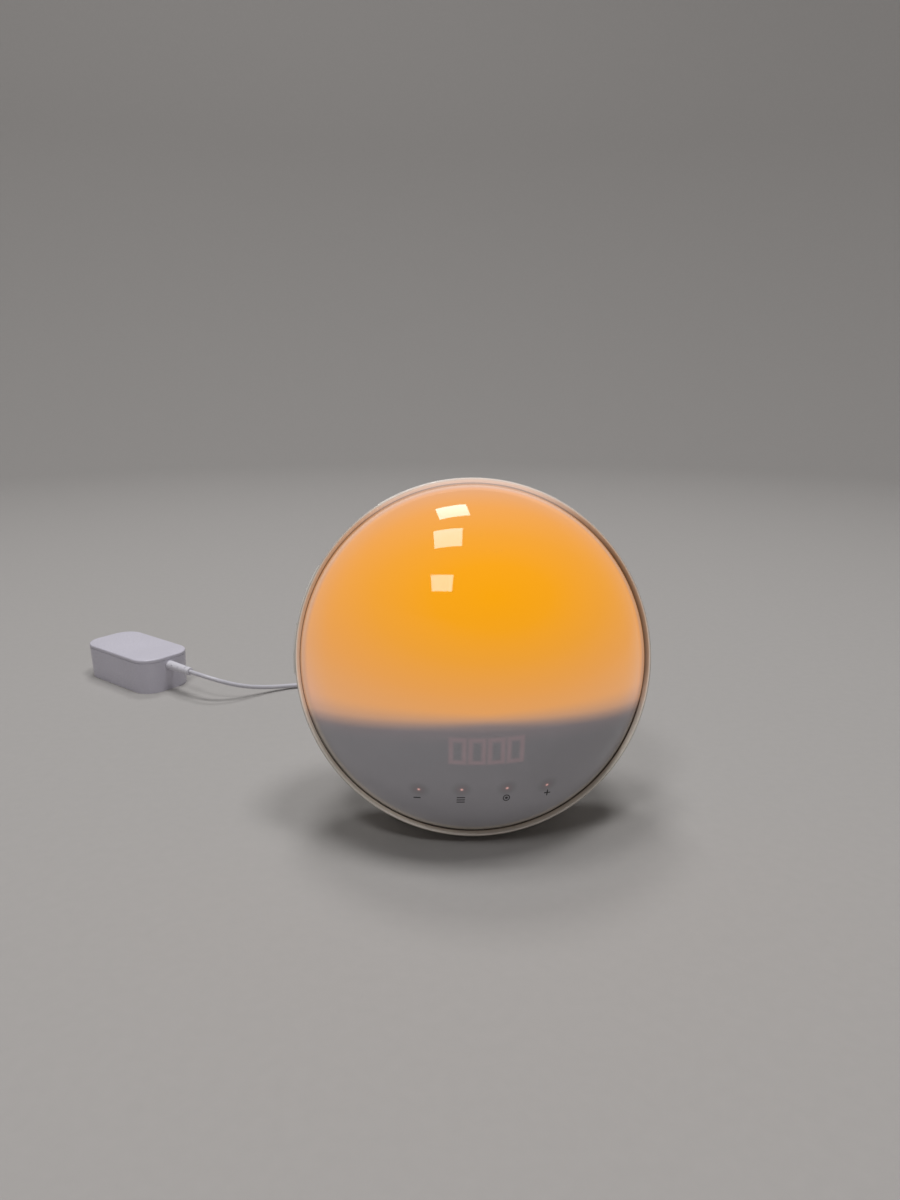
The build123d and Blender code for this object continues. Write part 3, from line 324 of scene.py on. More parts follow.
def add_node(tree: Tree, kind: str, inputs: dict | None = None, **settings) -> bpy.types.Node:
    """Add a node with its settings, values and links.

    Args:
        tree: the node tree.
        kind: the node's type name, without its ShaderNode prefix.
        inputs: value, or socket to link from, for each input's name or number.
        settings: the node's own properties.

    Returns:
        The new node.
    """
    node = tree.nodes.new("ShaderNode" + kind)
    for key, value in settings.items():
        setattr(node, key, value)
    fill(tree, node, inputs or {})
    return node


def chain(tree: Tree, kind: str, value: Socket, *steps: tuple) -> Socket:
    """Run a value through nodes of one kind, one operation after another.

    Args:
        tree: the node tree.
        kind: the nodes' type name.
        value: the first node's first input.
        steps: each node's operation, followed by its other inputs.

    Returns:
        The last node's live output.
    """
    for operation, *others in steps:
        node = add_node(tree, kind, dict(enumerate((value, *others))), operation=operation)
        value = next(socket for socket in node.outputs if socket.enabled)
    return value


def ramped(tree: Tree, factor: Socket, stops: tuple | list) -> Socket:
    """A colour from a ramp.

    Args:
        tree: the node tree.
        factor: the position along the ramp.
        stops: a position and an sRGB hex colour for each stop.

    Returns:
        The colour.
    """
    ramp = add_node(tree, "ValToRGB", {"Fac": factor})
    elements = ramp.color_ramp.elements
    while len(elements) < len(stops):
        elements.new(1.0)
    for element, (position, colour) in zip(elements, stops):
        element.position = position
        element.color = linear(colour)
    return ramp.outputs["Color"]


def blend(tree: Tree, share: Socket | float, under: Colour, over: Colour, **settings) -> Socket:
    """A colour laid over another by a share, with the Mix node's settings."""
    inputs = {SHARE: share, UNDER: under, OVER: over}
    return add_node(tree, "Mix", inputs, data_type="RGBA", **settings).outputs[MIXED]


def scaled(tree: Tree, colour: Colour, share: Socket | float) -> Socket:
    """A colour made lighter or darker by a share."""
    return add_node(tree, "VectorMath", {0: colour, "Scale": share}, operation="SCALE").outputs["Vector"]


def bumped(tree: Tree, height: Socket, depth: float) -> Socket:
    """Normals of a skin whose height goes up and down by a depth."""
    return add_node(tree, "Bump", {"Height": height, "Distance": depth * MM}).outputs["Normal"]


def noise(tree: Tree, place: Socket, size: float, detail: float = 2.0) -> Socket:
    """A factor from soft clouds of a size, broken up by a detail, at the place's coordinates."""
    inputs = {"Vector": place, "Scale": 1 / size, "Detail": detail}
    return add_node(tree, "TexNoise", inputs).outputs["Fac"]


def blank_material(name: str) -> tuple[bpy.types.Material, Tree, bpy.types.Node]:
    """Start a material.

    Args:
        name: the material's name.

    Returns:
        The material, its node tree and its Principled shader.
    """
    material = bpy.data.materials.new(name)
    material.use_nodes = True
    tree = material.node_tree
    return material, tree, tree.nodes["Principled BSDF"]


def object_coordinates(tree: Tree) -> Socket:
    """Object coordinates, in metres."""
    return add_node(tree, "TexCoord").outputs["Object"]


def leaning_coordinates(tree: Tree, origin: np.ndarray, tip: float) -> Socket:
    """Object coordinates turned into millimetres in a frame that is tipped about X.

    Args:
        tree: the node tree.
        origin: the frame's origin.
        tip: its turn about X, in radians.

    Returns:
        The coordinates.
    """
    turn = {"Location": origin * MM, "Rotation": (tip, 0, 0), "Scale": (MM, MM, MM)}
    place = {"Vector": object_coordinates(tree)}
    return add_node(tree, "Mapping", place | turn, vector_type="TEXTURE").outputs["Vector"]


def dial_coordinates(tree: Tree) -> Socket:
    """Object coordinates turned into the dial's own."""
    return leaning_coordinates(tree, DIAL.centre, DIAL.tip)


def disc_radius(tree: Tree, place: Socket) -> Socket:
    """Distance of dial coordinates from the dial's axis."""
    return chain(tree, "VectorMath", place, ("MULTIPLY", (1.0, 1.0, 0.0)), ("LENGTH",))


@dataclass(frozen=True)
class Change:
    """A value that goes from one level to another while a measure goes from start to end."""

    start: float
    end: float
    before: float = 0.0
    after: float = 1.0

    def over(self, tree: Tree, measure: Socket, **settings) -> Socket:
        """The value's socket, from a node that maps the measure's range, with the node's settings."""
        limits = {"From Min": self.start, "From Max": self.end, "To Min": self.before, "To Max": self.after}
        return add_node(tree, "MapRange", {"Value": measure} | limits, **settings).outputs["Result"]


def mottled(tree: Tree, colour: str, size: float, share: float, detail: float) -> Socket:
    """A colour whose tone varies a little over soft clouds.

    Args:
        tree: the node tree.
        colour: sRGB hex colour.
        size: the clouds' size.
        share: how far the tone goes up and down, as a share of it.
        detail: how finely the clouds are broken up.

    Returns:
        The colour.
    """
    clouds = noise(tree, object_coordinates(tree), size * MM, detail)
    tone = Change(0.0, 1.0, 1 - share, 1 + share).over(tree, clouds)
    return scaled(tree, linear(colour)[:3], tone)


@dataclass(frozen=True)
class Moulded:
    """Injection-moulded plastic or rubber: one colour through, with the tool's fine spark-eroded grain.

    To the eye it is an even satin skin that breaks a highlight up a little and varies by a few percent
    in tone where the melt cooled unevenly. The real grain is near 0.05 mm; it is drawn at grain
    millimetres so that it shows.
    """

    name: str
    colour: str
    roughness: float
    grain: float = 0.5
    depth: float = 0.012
    cloud: float = 22.0
    shade: float = 0.05
    spread: float = 0.05
    ior: float = 1.5

    def material(self) -> bpy.types.Material:
        """Build the node tree.

        Returns:
            The material.
        """
        material, tree, shader = blank_material(self.name)
        place = object_coordinates(tree)
        fine = noise(tree, place, self.grain * MM)
        gloss = Change(0.0, 1.0, self.roughness - self.spread, self.roughness + self.spread)
        look = {"Roughness": gloss.over(tree, fine), "Normal": bumped(tree, fine, self.depth)}
        tint = mottled(tree, self.colour, self.cloud, self.shade, detail=1.0)
        fill(tree, shader, look | {"Base Color": tint, "IOR": self.ior})
        return material


@dataclass(frozen=True)
class Metal:
    """Bare or plated metal with the marks of its making, drawn along one axis.

    Rolled and ground metal shows long faint lines that stretch a highlight across them. The real lines
    are near 0.02 mm apart; they are drawn at line millimetres so that they show.
    """

    name: str
    colour: str
    roughness: float
    line: float = 0.25
    stretch: float = 24.0
    spread: float = 0.3
    depth: float = 0.004

    def material(self) -> bpy.types.Material:
        """Build the node tree.

        Returns:
            The material.
        """
        material, tree, shader = blank_material(self.name)
        place = object_coordinates(tree)
        drawn = add_node(tree, "Mapping", {"Vector": place, "Scale": (1.0, 1.0 / self.stretch, 1.0)})
        lines = noise(tree, drawn.outputs["Vector"], self.line * MM)
        gloss = Change(0.0, 1.0, self.roughness * (1 - self.spread), self.roughness * (1 + self.spread))
        look = {"Roughness": gloss.over(tree, lines), "Normal": bumped(tree, lines, self.depth)}
        fill(tree, shader, look | {"Base Color": linear(self.colour), "Metallic": 1.0})
        return material


@dataclass(frozen=True)
class Speckled:
    """Foam, felt, pressed paper or sintered ceramic: small cells of two tones with a matt, pitted skin."""

    name: str
    light: str
    dark: str
    cell: float
    dark_from: float = 0.8
    roughness: float = 0.9
    depth: float = 0.08

    def material(self) -> bpy.types.Material:
        """Build the node tree.

        Returns:
            The material.
        """
        material, tree, shader = blank_material(self.name)
        place = object_coordinates(tree)
        texture = {"Vector": place, "Scale": 1 / (self.cell * MM)}
        cells = add_node(tree, "TexVoronoi", texture).outputs["Distance"]
        tint = ramped(tree, cells, [(0.0, self.light), (self.dark_from, self.dark)])
        look = {"Base Color": tint, "Normal": bumped(tree, cells, self.depth)}
        fill(tree, shader, look | {"Roughness": self.roughness})
        return material


@dataclass(frozen=True)
class SolderMask:
    """Glass-epoxy circuit board under solder mask: dark lacquer with paler tracks of covered copper."""

    name: str
    lacquer: str
    track: str
    pitch: float = 2.2
    length: float = 8.8
    width: float = 0.3
    depth: float = 0.03
    roughness: float = 0.35

    def material(self) -> bpy.types.Material:
        """Build the node tree.

        Returns:
            The material.
        """
        material, tree, shader = blank_material(self.name)
        size = {"Scale": 1.0, "Row Height": self.pitch, "Brick Width": self.length, "Mortar Size": self.width}
        tints = {"Color1": linear(self.lacquer), "Color2": linear(self.lacquer), "Mortar": linear(self.track)}
        tracks = add_node(tree, "TexBrick", {"Vector": dial_coordinates(tree)} | size | tints)
        look = {"Base Color": tracks.outputs["Color"], "Roughness": self.roughness}
        fill(tree, shader, look | {"Normal": bumped(tree, tracks.outputs["Fac"], self.depth)})
        return material


@dataclass(frozen=True)
class LitPart:
    """A light-emitting part: a milky resin whose glow varies a little over its grain."""

    name: str
    colour: str
    glow: float
    grain: float = 1.5
    shade: float = 0.15
    roughness: float = 0.4

    def material(self) -> bpy.types.Material:
        """Build the node tree.

        Returns:
            The material.
        """
        material, tree, shader = blank_material(self.name)
        tint = mottled(tree, self.colour, self.grain, self.shade, detail=2.0)
        light = {"Emission Color": tint, "Emission Strength": self.glow}
        fill(tree, shader, light | {"Base Color": tint, "Roughness": self.roughness})
        return material


@dataclass(frozen=True)
class OpalDome:
    """Opal acrylic, moulded and polished, lit from behind in its upper part.

    To the eye the lamp's warm light lies evenly in the skin: saturated orange over the lamp, paler
    towards the rim, and cut off softly where the divider stands behind it. Below that the opal is a
    cool grey in which the display's digits and the touch keys' points only just show. The skin itself is
    glossy enough for crisp reflections. The lamp's light, its spill, the digits and the points are
    painted into the skin as emission; no lamp behind the dome lights it.
    """

    name: str = "opal_acrylic_polished_painted_glow"
    lamp_at: tuple = (4.7, 27.8)
    lamp_half: tuple = (107.6, 59.4)
    lamp_reach: float = 1.6
    lamp_colours: tuple = ("#fca810", "#faa71c", "#f4a538", "#efa555", "#e7a770", "#dca88a", "#d3aa9c")
    # The glow pales towards the rim: the lamp's weaker light and, in part, a painted sheen.
    rim_paling_and_sheen: Change = Change(74.0, 94.0, 0.0, 0.2)
    rim_fade: Change = Change(87.5, 91.0, 1.0, 0.3)
    divider_v: float = -31.1
    divider_w: float = 50.9
    divider_slope: float = 0.125
    blur: float = 3.8
    blur_growth: float = 0.075
    spill: Change = Change(-13.0, 0.0)
    spill_colours: tuple = ((0.0, "#000000"), (0.5, "#281716"), (0.8, "#593d2f"), (1.0, "#805838"))
    opal: str = "#b0afb5"
    edge_opal: str = "#dcd6cd"
    edge: Change = Change(88.6, 91.4)
    # Painted light: the opal's colour is raised towards the dome's foot.
    foot_painted_light: Change = Change(-92.0, -45.0, 1.18, 1.0)
    cloud: float = 20.0
    cloud_detail: float = 3.0
    cloud_tone: Change = Change(0.0, 1.0, 0.95, 1.05)
    warm_share: float = 0.3
    glow_share: float = 0.78
    polish: Change = Change(0.0, 1.0, 0.02, 0.05)
    reflection: float = 0.28
    ior: float = 1.49
    panel_tilt: float = 34.5
    panel_at: tuple = (-51.5, 21.06)
    digits_at: tuple = (0.2, 15.1)
    digit_pitch: float = 9.4
    digit_half: tuple = (3.2, 6.2)
    digit_colour: str = "#45292a"
    stroke: Change = Change(0.0, 2.16, 1.0, 0.0)
    touch: tuple = ((11.3, -8.7), (32.3, -12.0))
    point: Change = Change(0.0, 6.0)
    point_colours: tuple = ((0.0, "#d8a698"), (0.07, "#a06c62"), (0.17, "#28100e"), (0.6, "#000000"))
    point_shade: Change = Change(1.5, 6.5, 0.8, 1.0)

    def lamp_glow(self, tree: Tree, place: Socket, radius: Socket) -> Socket:
        """Colour of the lit skin.

        The distance from the lamp's middle is measured in half widths of the glow's ellipse, and a rise
        near the rim is added to it. A ramp turns it into colour: paler stops away from the middle paint the
        lamp's weaker light and, in part, a painted sheen of reflected surroundings.

        Args:
            tree: the node tree.
            place: dial coordinates.
            radius: distance from the dial's axis.

        Returns:
            The colour.
        """
        flat = (1 / self.lamp_half[0], 1 / self.lamp_half[1], 0.0)
        shift = (-self.lamp_at[0] * flat[0], -self.lamp_at[1] * flat[1], 0.0)
        away = chain(tree, "VectorMath", place, ("MULTIPLY_ADD", flat, shift), ("LENGTH",))
        # Partly painted sheen: the glow is made paler near the rim.
        rim = self.rim_paling_and_sheen.over(tree, radius, **SMOOTH)
        share = chain(tree, "Math", away, ("ADD", rim), ("DIVIDE", self.lamp_reach))
        last = len(self.lamp_colours) - 1
        return ramped(tree, share, [(step / last, colour) for step, colour in enumerate(self.lamp_colours)])

    def over_divider(self, tree: Tree, place: Socket) -> Socket:
        """Distance above the divider's plane: v + slope w - (v0 + slope w0).

        Args:
            tree: the node tree.
            place: dial coordinates.

        Returns:
            The distance.
        """
        tilt = (0.0, 1.0, self.divider_slope)
        level = self.divider_v + self.divider_slope * self.divider_w
        along = chain(tree, "VectorMath", place, ("DOT_PRODUCT", tilt))
        return chain(tree, "Math", along, ("SUBTRACT", level))

    def lit_share(self, tree: Tree, place: Socket, radius: Socket, over: Socket) -> Socket:
        """How far the skin is lit: fully above the divider, softly across it, and fading at the rim.

        The soft edge's half width is blur + growth |u|.

        Args:
            tree: the node tree.
            place: dial coordinates.
            radius: distance from the dial's axis.
            over: distance above the divider's plane.

        Returns:
            A factor from 0 to 1.
        """
        across = add_node(tree, "SeparateXYZ", {0: place}).outputs["X"]
        half = chain(tree, "Math", across, ("ABSOLUTE",), ("MULTIPLY_ADD", self.blur_growth, self.blur))
        cut = {"Value": over, "From Min": chain(tree, "Math", half, ("MULTIPLY", -1.0)), "From Max": half}
        above = add_node(tree, "MapRange", cut, **SMOOTH).outputs["Result"]
        fade = self.rim_fade.over(tree, radius, **SMOOTH)
        return chain(tree, "Math", above, ("MULTIPLY", fade))

    def digit_mask(self, tree: Tree, panel: Socket) -> Socket:
        """Four noughts in a row, soft at their edges.

        Across, the distance from the nearest digit's middle is |fract(x / pitch) - 1/2| pitch. A nought
        is where max(across - half width, |y| - half height) is nearly zero.

        Args:
            tree: the node tree.
            panel: the control board's coordinates.

        Returns:
            A factor from 0 to 1.
        """
        middle = (-self.digits_at[0], -self.digits_at[1], 0.0)
        local = chain(tree, "VectorMath", panel, ("ADD", middle))
        axes = add_node(tree, "SeparateXYZ", {0: local})
        folded = (("DIVIDE", self.digit_pitch), ("FRACT",), ("SUBTRACT", 0.5), ("ABSOLUTE",))
        edge = ("MULTIPLY_ADD", self.digit_pitch, -self.digit_half[0])
        side = chain(tree, "Math", axes.outputs["X"], *folded, edge)
        end = chain(tree, "Math", axes.outputs["Y"], ("ABSOLUTE",), ("SUBTRACT", self.digit_half[1]))
        away = chain(tree, "Math", side, ("MAXIMUM", end), ("ABSOLUTE",))
        line = self.stroke.over(tree, away, **SMOOTH)
        inside = chain(tree, "Math", axes.outputs["X"], ("ABSOLUTE",), ("LESS_THAN", 2 * self.digit_pitch))
        return chain(tree, "Math", line, ("MULTIPLY", inside))

    def touch_distance(self, tree: Tree, panel: Socket) -> Socket:
        """Distance to the nearest touch point, with the left half folded onto the right.

        Args:
            tree: the node tree.
            panel: the control board's coordinates.

        Returns:
            The distance.
        """
        axes = add_node(tree, "SeparateXYZ", {0: panel})
        across = chain(tree, "Math", axes.outputs["X"], ("ABSOLUTE",))
        flat = add_node(tree, "CombineXYZ", {"X": across, "Y": axes.outputs["Y"]}).outputs["Vector"]
        inner, outer = (chain(tree, "VectorMath", flat, ("DISTANCE", (*place, 0.0))) for place in self.touch)
        return chain(tree, "Math", inner, ("MINIMUM", outer))

    def cool_light(self, tree: Tree, over: Socket, digits: Socket, near: Socket) -> Socket:
        """Light below the divider: the lamp's spill, the digits over it, and the touch points added.

        Args:
            tree: the node tree.
            over: distance above the divider's plane.
            digits: the digits' factor.
            near: distance to the nearest touch point.

        Returns:
            The colour.
        """
        spill = ramped(tree, self.spill.over(tree, over), self.spill_colours)
        display = blend(tree, digits, spill, linear(self.digit_colour))
        points = ramped(tree, self.point.over(tree, near), self.point_colours)
        return blend(tree, 1.0, display, points, blend_type="ADD")

    def opal_skin(self, tree: Tree, place: Socket, radius: Socket, near: Socket, clouds: Socket) -> Socket:
        """Colour of the unlit opal: clouded, darker round the touch points, paler at its rim, with painted
        light at its foot.

        Args:
            tree: the node tree.
            place: dial coordinates.
            radius: distance from the dial's axis.
            near: distance to the nearest touch point.
            clouds: the clouds' factor.

        Returns:
            The colour.
        """
        tone = self.cloud_tone.over(tree, clouds)
        dark = self.point_shade.over(tree, near, **SMOOTH)
        height = add_node(tree, "SeparateXYZ", {0: place}).outputs["Y"]
        # Painted light: the opal is made lighter towards its foot.
        foot_light = self.foot_painted_light.over(tree, height, **SMOOTH)
        shade = chain(tree, "Math", tone, ("MULTIPLY", dark), ("MULTIPLY", foot_light))
        edge = self.edge.over(tree, radius, **SMOOTH)
        return scaled(tree, blend(tree, edge, linear(self.opal), linear(self.edge_opal)), shade)

    def material(self) -> bpy.types.Material:
        """Build the node tree.

        Returns:
            The material.
        """
        material, tree, shader = blank_material(self.name)
        place = dial_coordinates(tree)
        board_at = DIAL.world(0.0, *self.panel_at)
        panel = leaning_coordinates(tree, board_at, DIAL.tip + math.radians(self.panel_tilt))
        radius = disc_radius(tree, place)
        over = self.over_divider(tree, place)
        near = self.touch_distance(tree, panel)
        clouds = noise(tree, place, self.cloud, self.cloud_detail)
        glow = self.lamp_glow(tree, place, radius)
        lit = self.lit_share(tree, place, radius, over)
        cool = self.cool_light(tree, over, self.digit_mask(tree, panel), near)
        opal = self.opal_skin(tree, place, radius, near, clouds)
        look = {"Roughness": self.polish.over(tree, clouds)}
        # Painted light: the lamp's glow, its spill, the digits and the touch points go into the skin's
        # emission.
        uses = {"Emission Color": (self.glow_share, cool), "Base Color": (self.warm_share, opal)}
        for use, (share, unlit) in uses.items():
            look[use] = blend(tree, lit, unlit, scaled(tree, glow, share))
        look |= {"Emission Strength": 1.0, "IOR": self.ior, "Specular IOR Level": self.reflection}
        fill(tree, shader, look)
        return material


@dataclass(frozen=True)
class LacqueredBevel:
    """Moulded ring under clear lacquer: a pale glossy crest, and a bevel with a painted reflection at the
    right and a painted glow at the top.

    To the eye a thin dark groove lies beside the dome, then a cream bevel and crest. To the right a
    painted reflection turns the bevel brown and leaves one painted bright line. At the top a painted glow,
    in the emission, brightens the ring.
    """

    name: str = "abs_lacquered_bevel_painted_light"
    bevel: Change = Change(91.8, 94.4)
    pale: tuple = (
        (0.0, "#4f4038"), (0.14, "#64544a"), (0.26, "#e6dace"), (0.8, "#f4ece2"), (1.0, "#b9b0a6"),
    )
    # Painted reflection at the right: a browner bevel with one painted bright line.
    right_painted_reflection: tuple = (
        (0.0, "#453c36"), (0.25, "#8a7d72"), (0.55, "#b0a497"), (0.75, "#efe8de"), (1.0, "#b9b0a6"),
    )
    to_right: Change = Change(35.0, 75.0)
    upward: Change = Change(-45.0, -10.0)
    to_top: Change = Change(50.0, 92.0)
    # Painted glow at the top of the ring, carried in the emission.
    painted_top_glow: tuple = ((0.0, "#000000"), (0.5, "#4a3c33"), (1.0, "#968f8c"))
    wear: float = 12.5
    polish: Change = Change(0.0, 1.0, 0.14, 0.24)
    ior: float = 1.6

    def material(self) -> bpy.types.Material:
        """Build the node tree.

        Returns:
            The material.
        """
        material, tree, shader = blank_material(self.name)
        place = dial_coordinates(tree)
        axes = add_node(tree, "SeparateXYZ", {0: place})
        step = self.bevel.over(tree, disc_radius(tree, place))
        right = self.to_right.over(tree, axes.outputs["X"])
        up = self.upward.over(tree, axes.outputs["Y"])
        top = self.to_top.over(tree, axes.outputs["Y"])
        # Painted light: the ring glows more towards its top.
        light = ramped(tree, top, self.painted_top_glow)
        # Painted reflection: the browner bevel takes over to the right and above the foot.
        away = chain(tree, "Math", right, ("MULTIPLY", up))
        tint = blend(tree, away, ramped(tree, step, self.pale), ramped(tree, step, self.right_painted_reflection))
        rough = self.polish.over(tree, noise(tree, place, self.wear))
        look = {"Base Color": tint, "Roughness": rough, "IOR": self.ior}
        fill(tree, shader, look | {"Emission Color": light, "Emission Strength": 1.0})
        return material


@dataclass(frozen=True)
class SweepPaper:
    """Matt background paper: a pale, even sheet with a faint mottle of its pulp."""

    name: str = "background_paper"
    colour: str = "#a8a5a3"
    pulp: float = 6.0
    shade: float = 0.03
    roughness: float = 0.85

    def material(self) -> bpy.types.Material:
        """Build the node tree.

        Returns:
            The material.
        """
        material, tree, shader = blank_material(self.name)
        tint = mottled(tree, self.colour, self.pulp, self.shade, detail=4.0)
        fill(tree, shader, {"Base Color": tint, "Roughness": self.roughness})
        return material


# ---------------------------------------------------------------- sub-assemblies


def finish_piece(piece: bpy.types.Object, body: Body, material: bpy.types.Material) -> None:
    """Give a new piece what it needs, and log it.

    Args:
        piece: the piece.
        body: the body that it rides on.
        material: its material.
    """
    piece.data.materials.append(material)
    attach(piece, body.value)
    LOG.info("%s rides on %s", piece.name, body.value)


def dress(finish: Moulded | Metal | Speckled | SolderMask | LitPart, *nodes: str) -> None:
    """Give construction nodes their finish.

    Args:
        finish: the finish.
        nodes: the nodes' names.
    """
    material = finish.material()
    for node in nodes:
        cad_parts[node].material_slots[0].material = material
        LOG.info("%s is %s", node, finish.name)


@dataclass(frozen=True)
class FrontDome:
    """The translucent front: a polished cap of a sphere with a flange under the ring."""

    wall: float = 2.2
    flange_r: float = 93.4
    arc_points: int = 90

    def profile(self) -> np.ndarray:
        """Half section: outer arc, flange and inner arc, each arc at (R sin a, c + R cos a).

        Returns:
            Rows of (r, w).
        """
        inner_r = DIAL.sphere_r - self.wall
        inner_edge = DIAL.dome_edge_r - self.wall
        outer = np.linspace(0.0, math.asin(DIAL.dome_edge_r / DIAL.sphere_r), self.arc_points)
        inner = np.linspace(math.asin(inner_edge / inner_r), 0.0, self.arc_points)
        step = -DIAL.ring_depth + DIAL.flange_t
        feet = [
            (DIAL.dome_edge_r, step),
            (self.flange_r, step),
            (self.flange_r, -DIAL.ring_depth),
            (inner_edge, -DIAL.ring_depth),
        ]
        arcs = [
            np.stack([radius * np.sin(angle), DIAL.sphere_w + radius * np.cos(angle)], axis=1)
            for radius, angle in ((DIAL.sphere_r, outer), (inner_r, inner))
        ]
        arcs[1][-1, 0] = 0.0
        return np.concatenate([arcs[0], np.array(feet), arcs[1]])

    def build(self) -> None:
        """Make the dome and dress it."""
        dome = turned("dome_shell", self.profile())
        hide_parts("front_dome")
        finish_piece(dome, Body.CLOCK, OpalDome().material())


@dataclass(frozen=True)
class BezelRing:
    """The thin glossy ring round the dome, with a soft crest and a bevel that falls to the dome."""

    lip: float = 1.1
    seat: float = 0.1
    crest_in: float = 0.5
    edges: tuple = (0.1, 0.55, 0.5, 0.15, 0.1, 0.05, 0.05)

    def profile(self) -> np.ndarray:
        """Closed half section whose corners are rounded by the edges' distances, in order.

        Returns:
            Rows of (r, w).
        """
        bevel_foot = DIAL.crest_r - DIAL.bevel_in
        seat_r, seat_top = DIAL.band_r - self.lip, -DIAL.ring_depth + DIAL.flange_t + self.seat
        corners = [
            (DIAL.band_r, -DIAL.ring_depth),
            (DIAL.band_r, 0.0),
            (DIAL.crest_r - self.crest_in, 0.0),
            (bevel_foot, -DIAL.bevel_down),
            (bevel_foot, seat_top),
            (seat_r, seat_top),
            (seat_r, -DIAL.ring_depth),
        ]
        return rounded(corners, self.edges, steps=8)

    def build(self) -> None:
        """Make the ring and dress it."""
        ring = turned("bezel_ring_rounded", self.profile())
        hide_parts("bezel_ring")
        finish_piece(ring, Body.CLOCK, LacqueredBevel().material())


@dataclass(frozen=True)
class DialPrint:
    """Marks printed on the dome under the touch points: less, a list, a choice and more."""

    height: float = 0.05
    outline_points: int = 48
    less_at: tuple = (-33.1, -70.7)
    list_at: tuple = (-11.5, -71.8)
    choice_at: tuple = (11.4, -71.5)
    more_at: tuple = (33.1, -70.6)
    sign_bar: tuple = (3.6, 0.7)
    list_bar: tuple = (4.2, 0.55)
    list_step: float = 1.3
    circle: tuple = (1.6, 0.5)
    dot: tuple = (1.5, 1.4)
    start_angle: float = 0.01

    def bar(self, length: float, width: float) -> np.ndarray:
        """Outline of a bar with round ends.

        A circle of half the width is pulled apart along u by half the remaining length, on the side
        that the sign of its cosine gives. Its start angle keeps every point off a cosine of zero.

        Args:
            length: over the ends.
            width: across.

        Returns:
            Rows of (u, v) about the bar's middle.
        """
        angle = around(self.outline_points) + self.start_angle
        half = width / 2
        pull = np.sign(np.cos(angle)) * (length / 2 - half)
        return np.stack([half * np.cos(angle) + pull, half * np.sin(angle)], axis=1)

    def film(self, outline: np.ndarray, place: tuple[float, float]) -> tuple[np.ndarray, list]:
        """A thin closed film of ink over the dome.

        The outline shrinks to its middle by a share k in rows on top and below. The top stands at the
        film's height and the underside as far inside the dome.

        Args:
            outline: rows of (u, v) about the mark's middle.
            place: the mark's middle on the dial.

        Returns:
            The film's vertices and faces.
        """
        shares = np.array([0.5, 0.95, 1.0, 0.95, 0.5])[:, None, None]
        heights = np.array([1.0, 1.0, 0.0, -1.0, -1.0])[:, None] * self.height
        rows = outline[None] * shares + np.array(place)
        grid = DIAL.on_dome(rows[..., 0], rows[..., 1], heights).reshape(-1, 3)
        ends = np.array([self.height, -self.height])
        poles = DIAL.on_dome(np.full(2, place[0]), np.full(2, place[1]), ends)
        return np.concatenate([grid, poles]), shell_faces(len(shares), len(outline))

    def circle_film(self, place: tuple[float, float], radius: float, width: float) -> tuple[np.ndarray, list]:
        """A ring of ink: a small flat section carried round a circle on the dome.

        Args:
            place: the ring's middle on the dial.
            radius: to the middle of its line.
            width: of its line.

        Returns:
            The ring's vertices and faces.
        """
        angle = around(self.outline_points)
        steps = np.array([-0.5, 0.5, 0.5, -0.5])[:, None] * width + radius
        heights = np.array([1.0, 1.0, -1.0, -1.0])[:, None] * self.height
        grid = DIAL.on_dome(place[0] + steps * np.cos(angle), place[1] + steps * np.sin(angle), heights)
        return grid.reshape(-1, 3), [grid_faces(4, self.outline_points, 0, wrap_rows=True)]

    def build(self) -> None:
        """Make every mark as one piece of ink and dress it."""
        sign, line = self.bar(*self.sign_bar), self.bar(*self.list_bar)
        films = [self.film(sign, self.less_at), self.film(sign, self.more_at)]
        films.append(self.film(sign[:, ::-1] * (1, -1), self.more_at))
        list_u, list_v = self.list_at
        films += [self.film(line, (list_u, list_v + rise * self.list_step)) for rise in (-1, 0, 1)]
        films.append(self.circle_film(self.choice_at, *self.circle))
        films.append(self.film(self.bar(*self.dot), self.choice_at))
        points, faces, count = [], [], 0
        for mark_points, mark_faces in films:
            points.append(mark_points)
            faces += [group + count for group in mark_faces]
            count += len(mark_points)
        ink = put_mesh("dial_print", np.concatenate(points), faces)
        screen_ink = Moulded("screen_ink_printed", "#3b3a3c", 0.5, grain=0.3, depth=0.004)
        finish_piece(ink, Body.CLOCK, screen_ink.material())


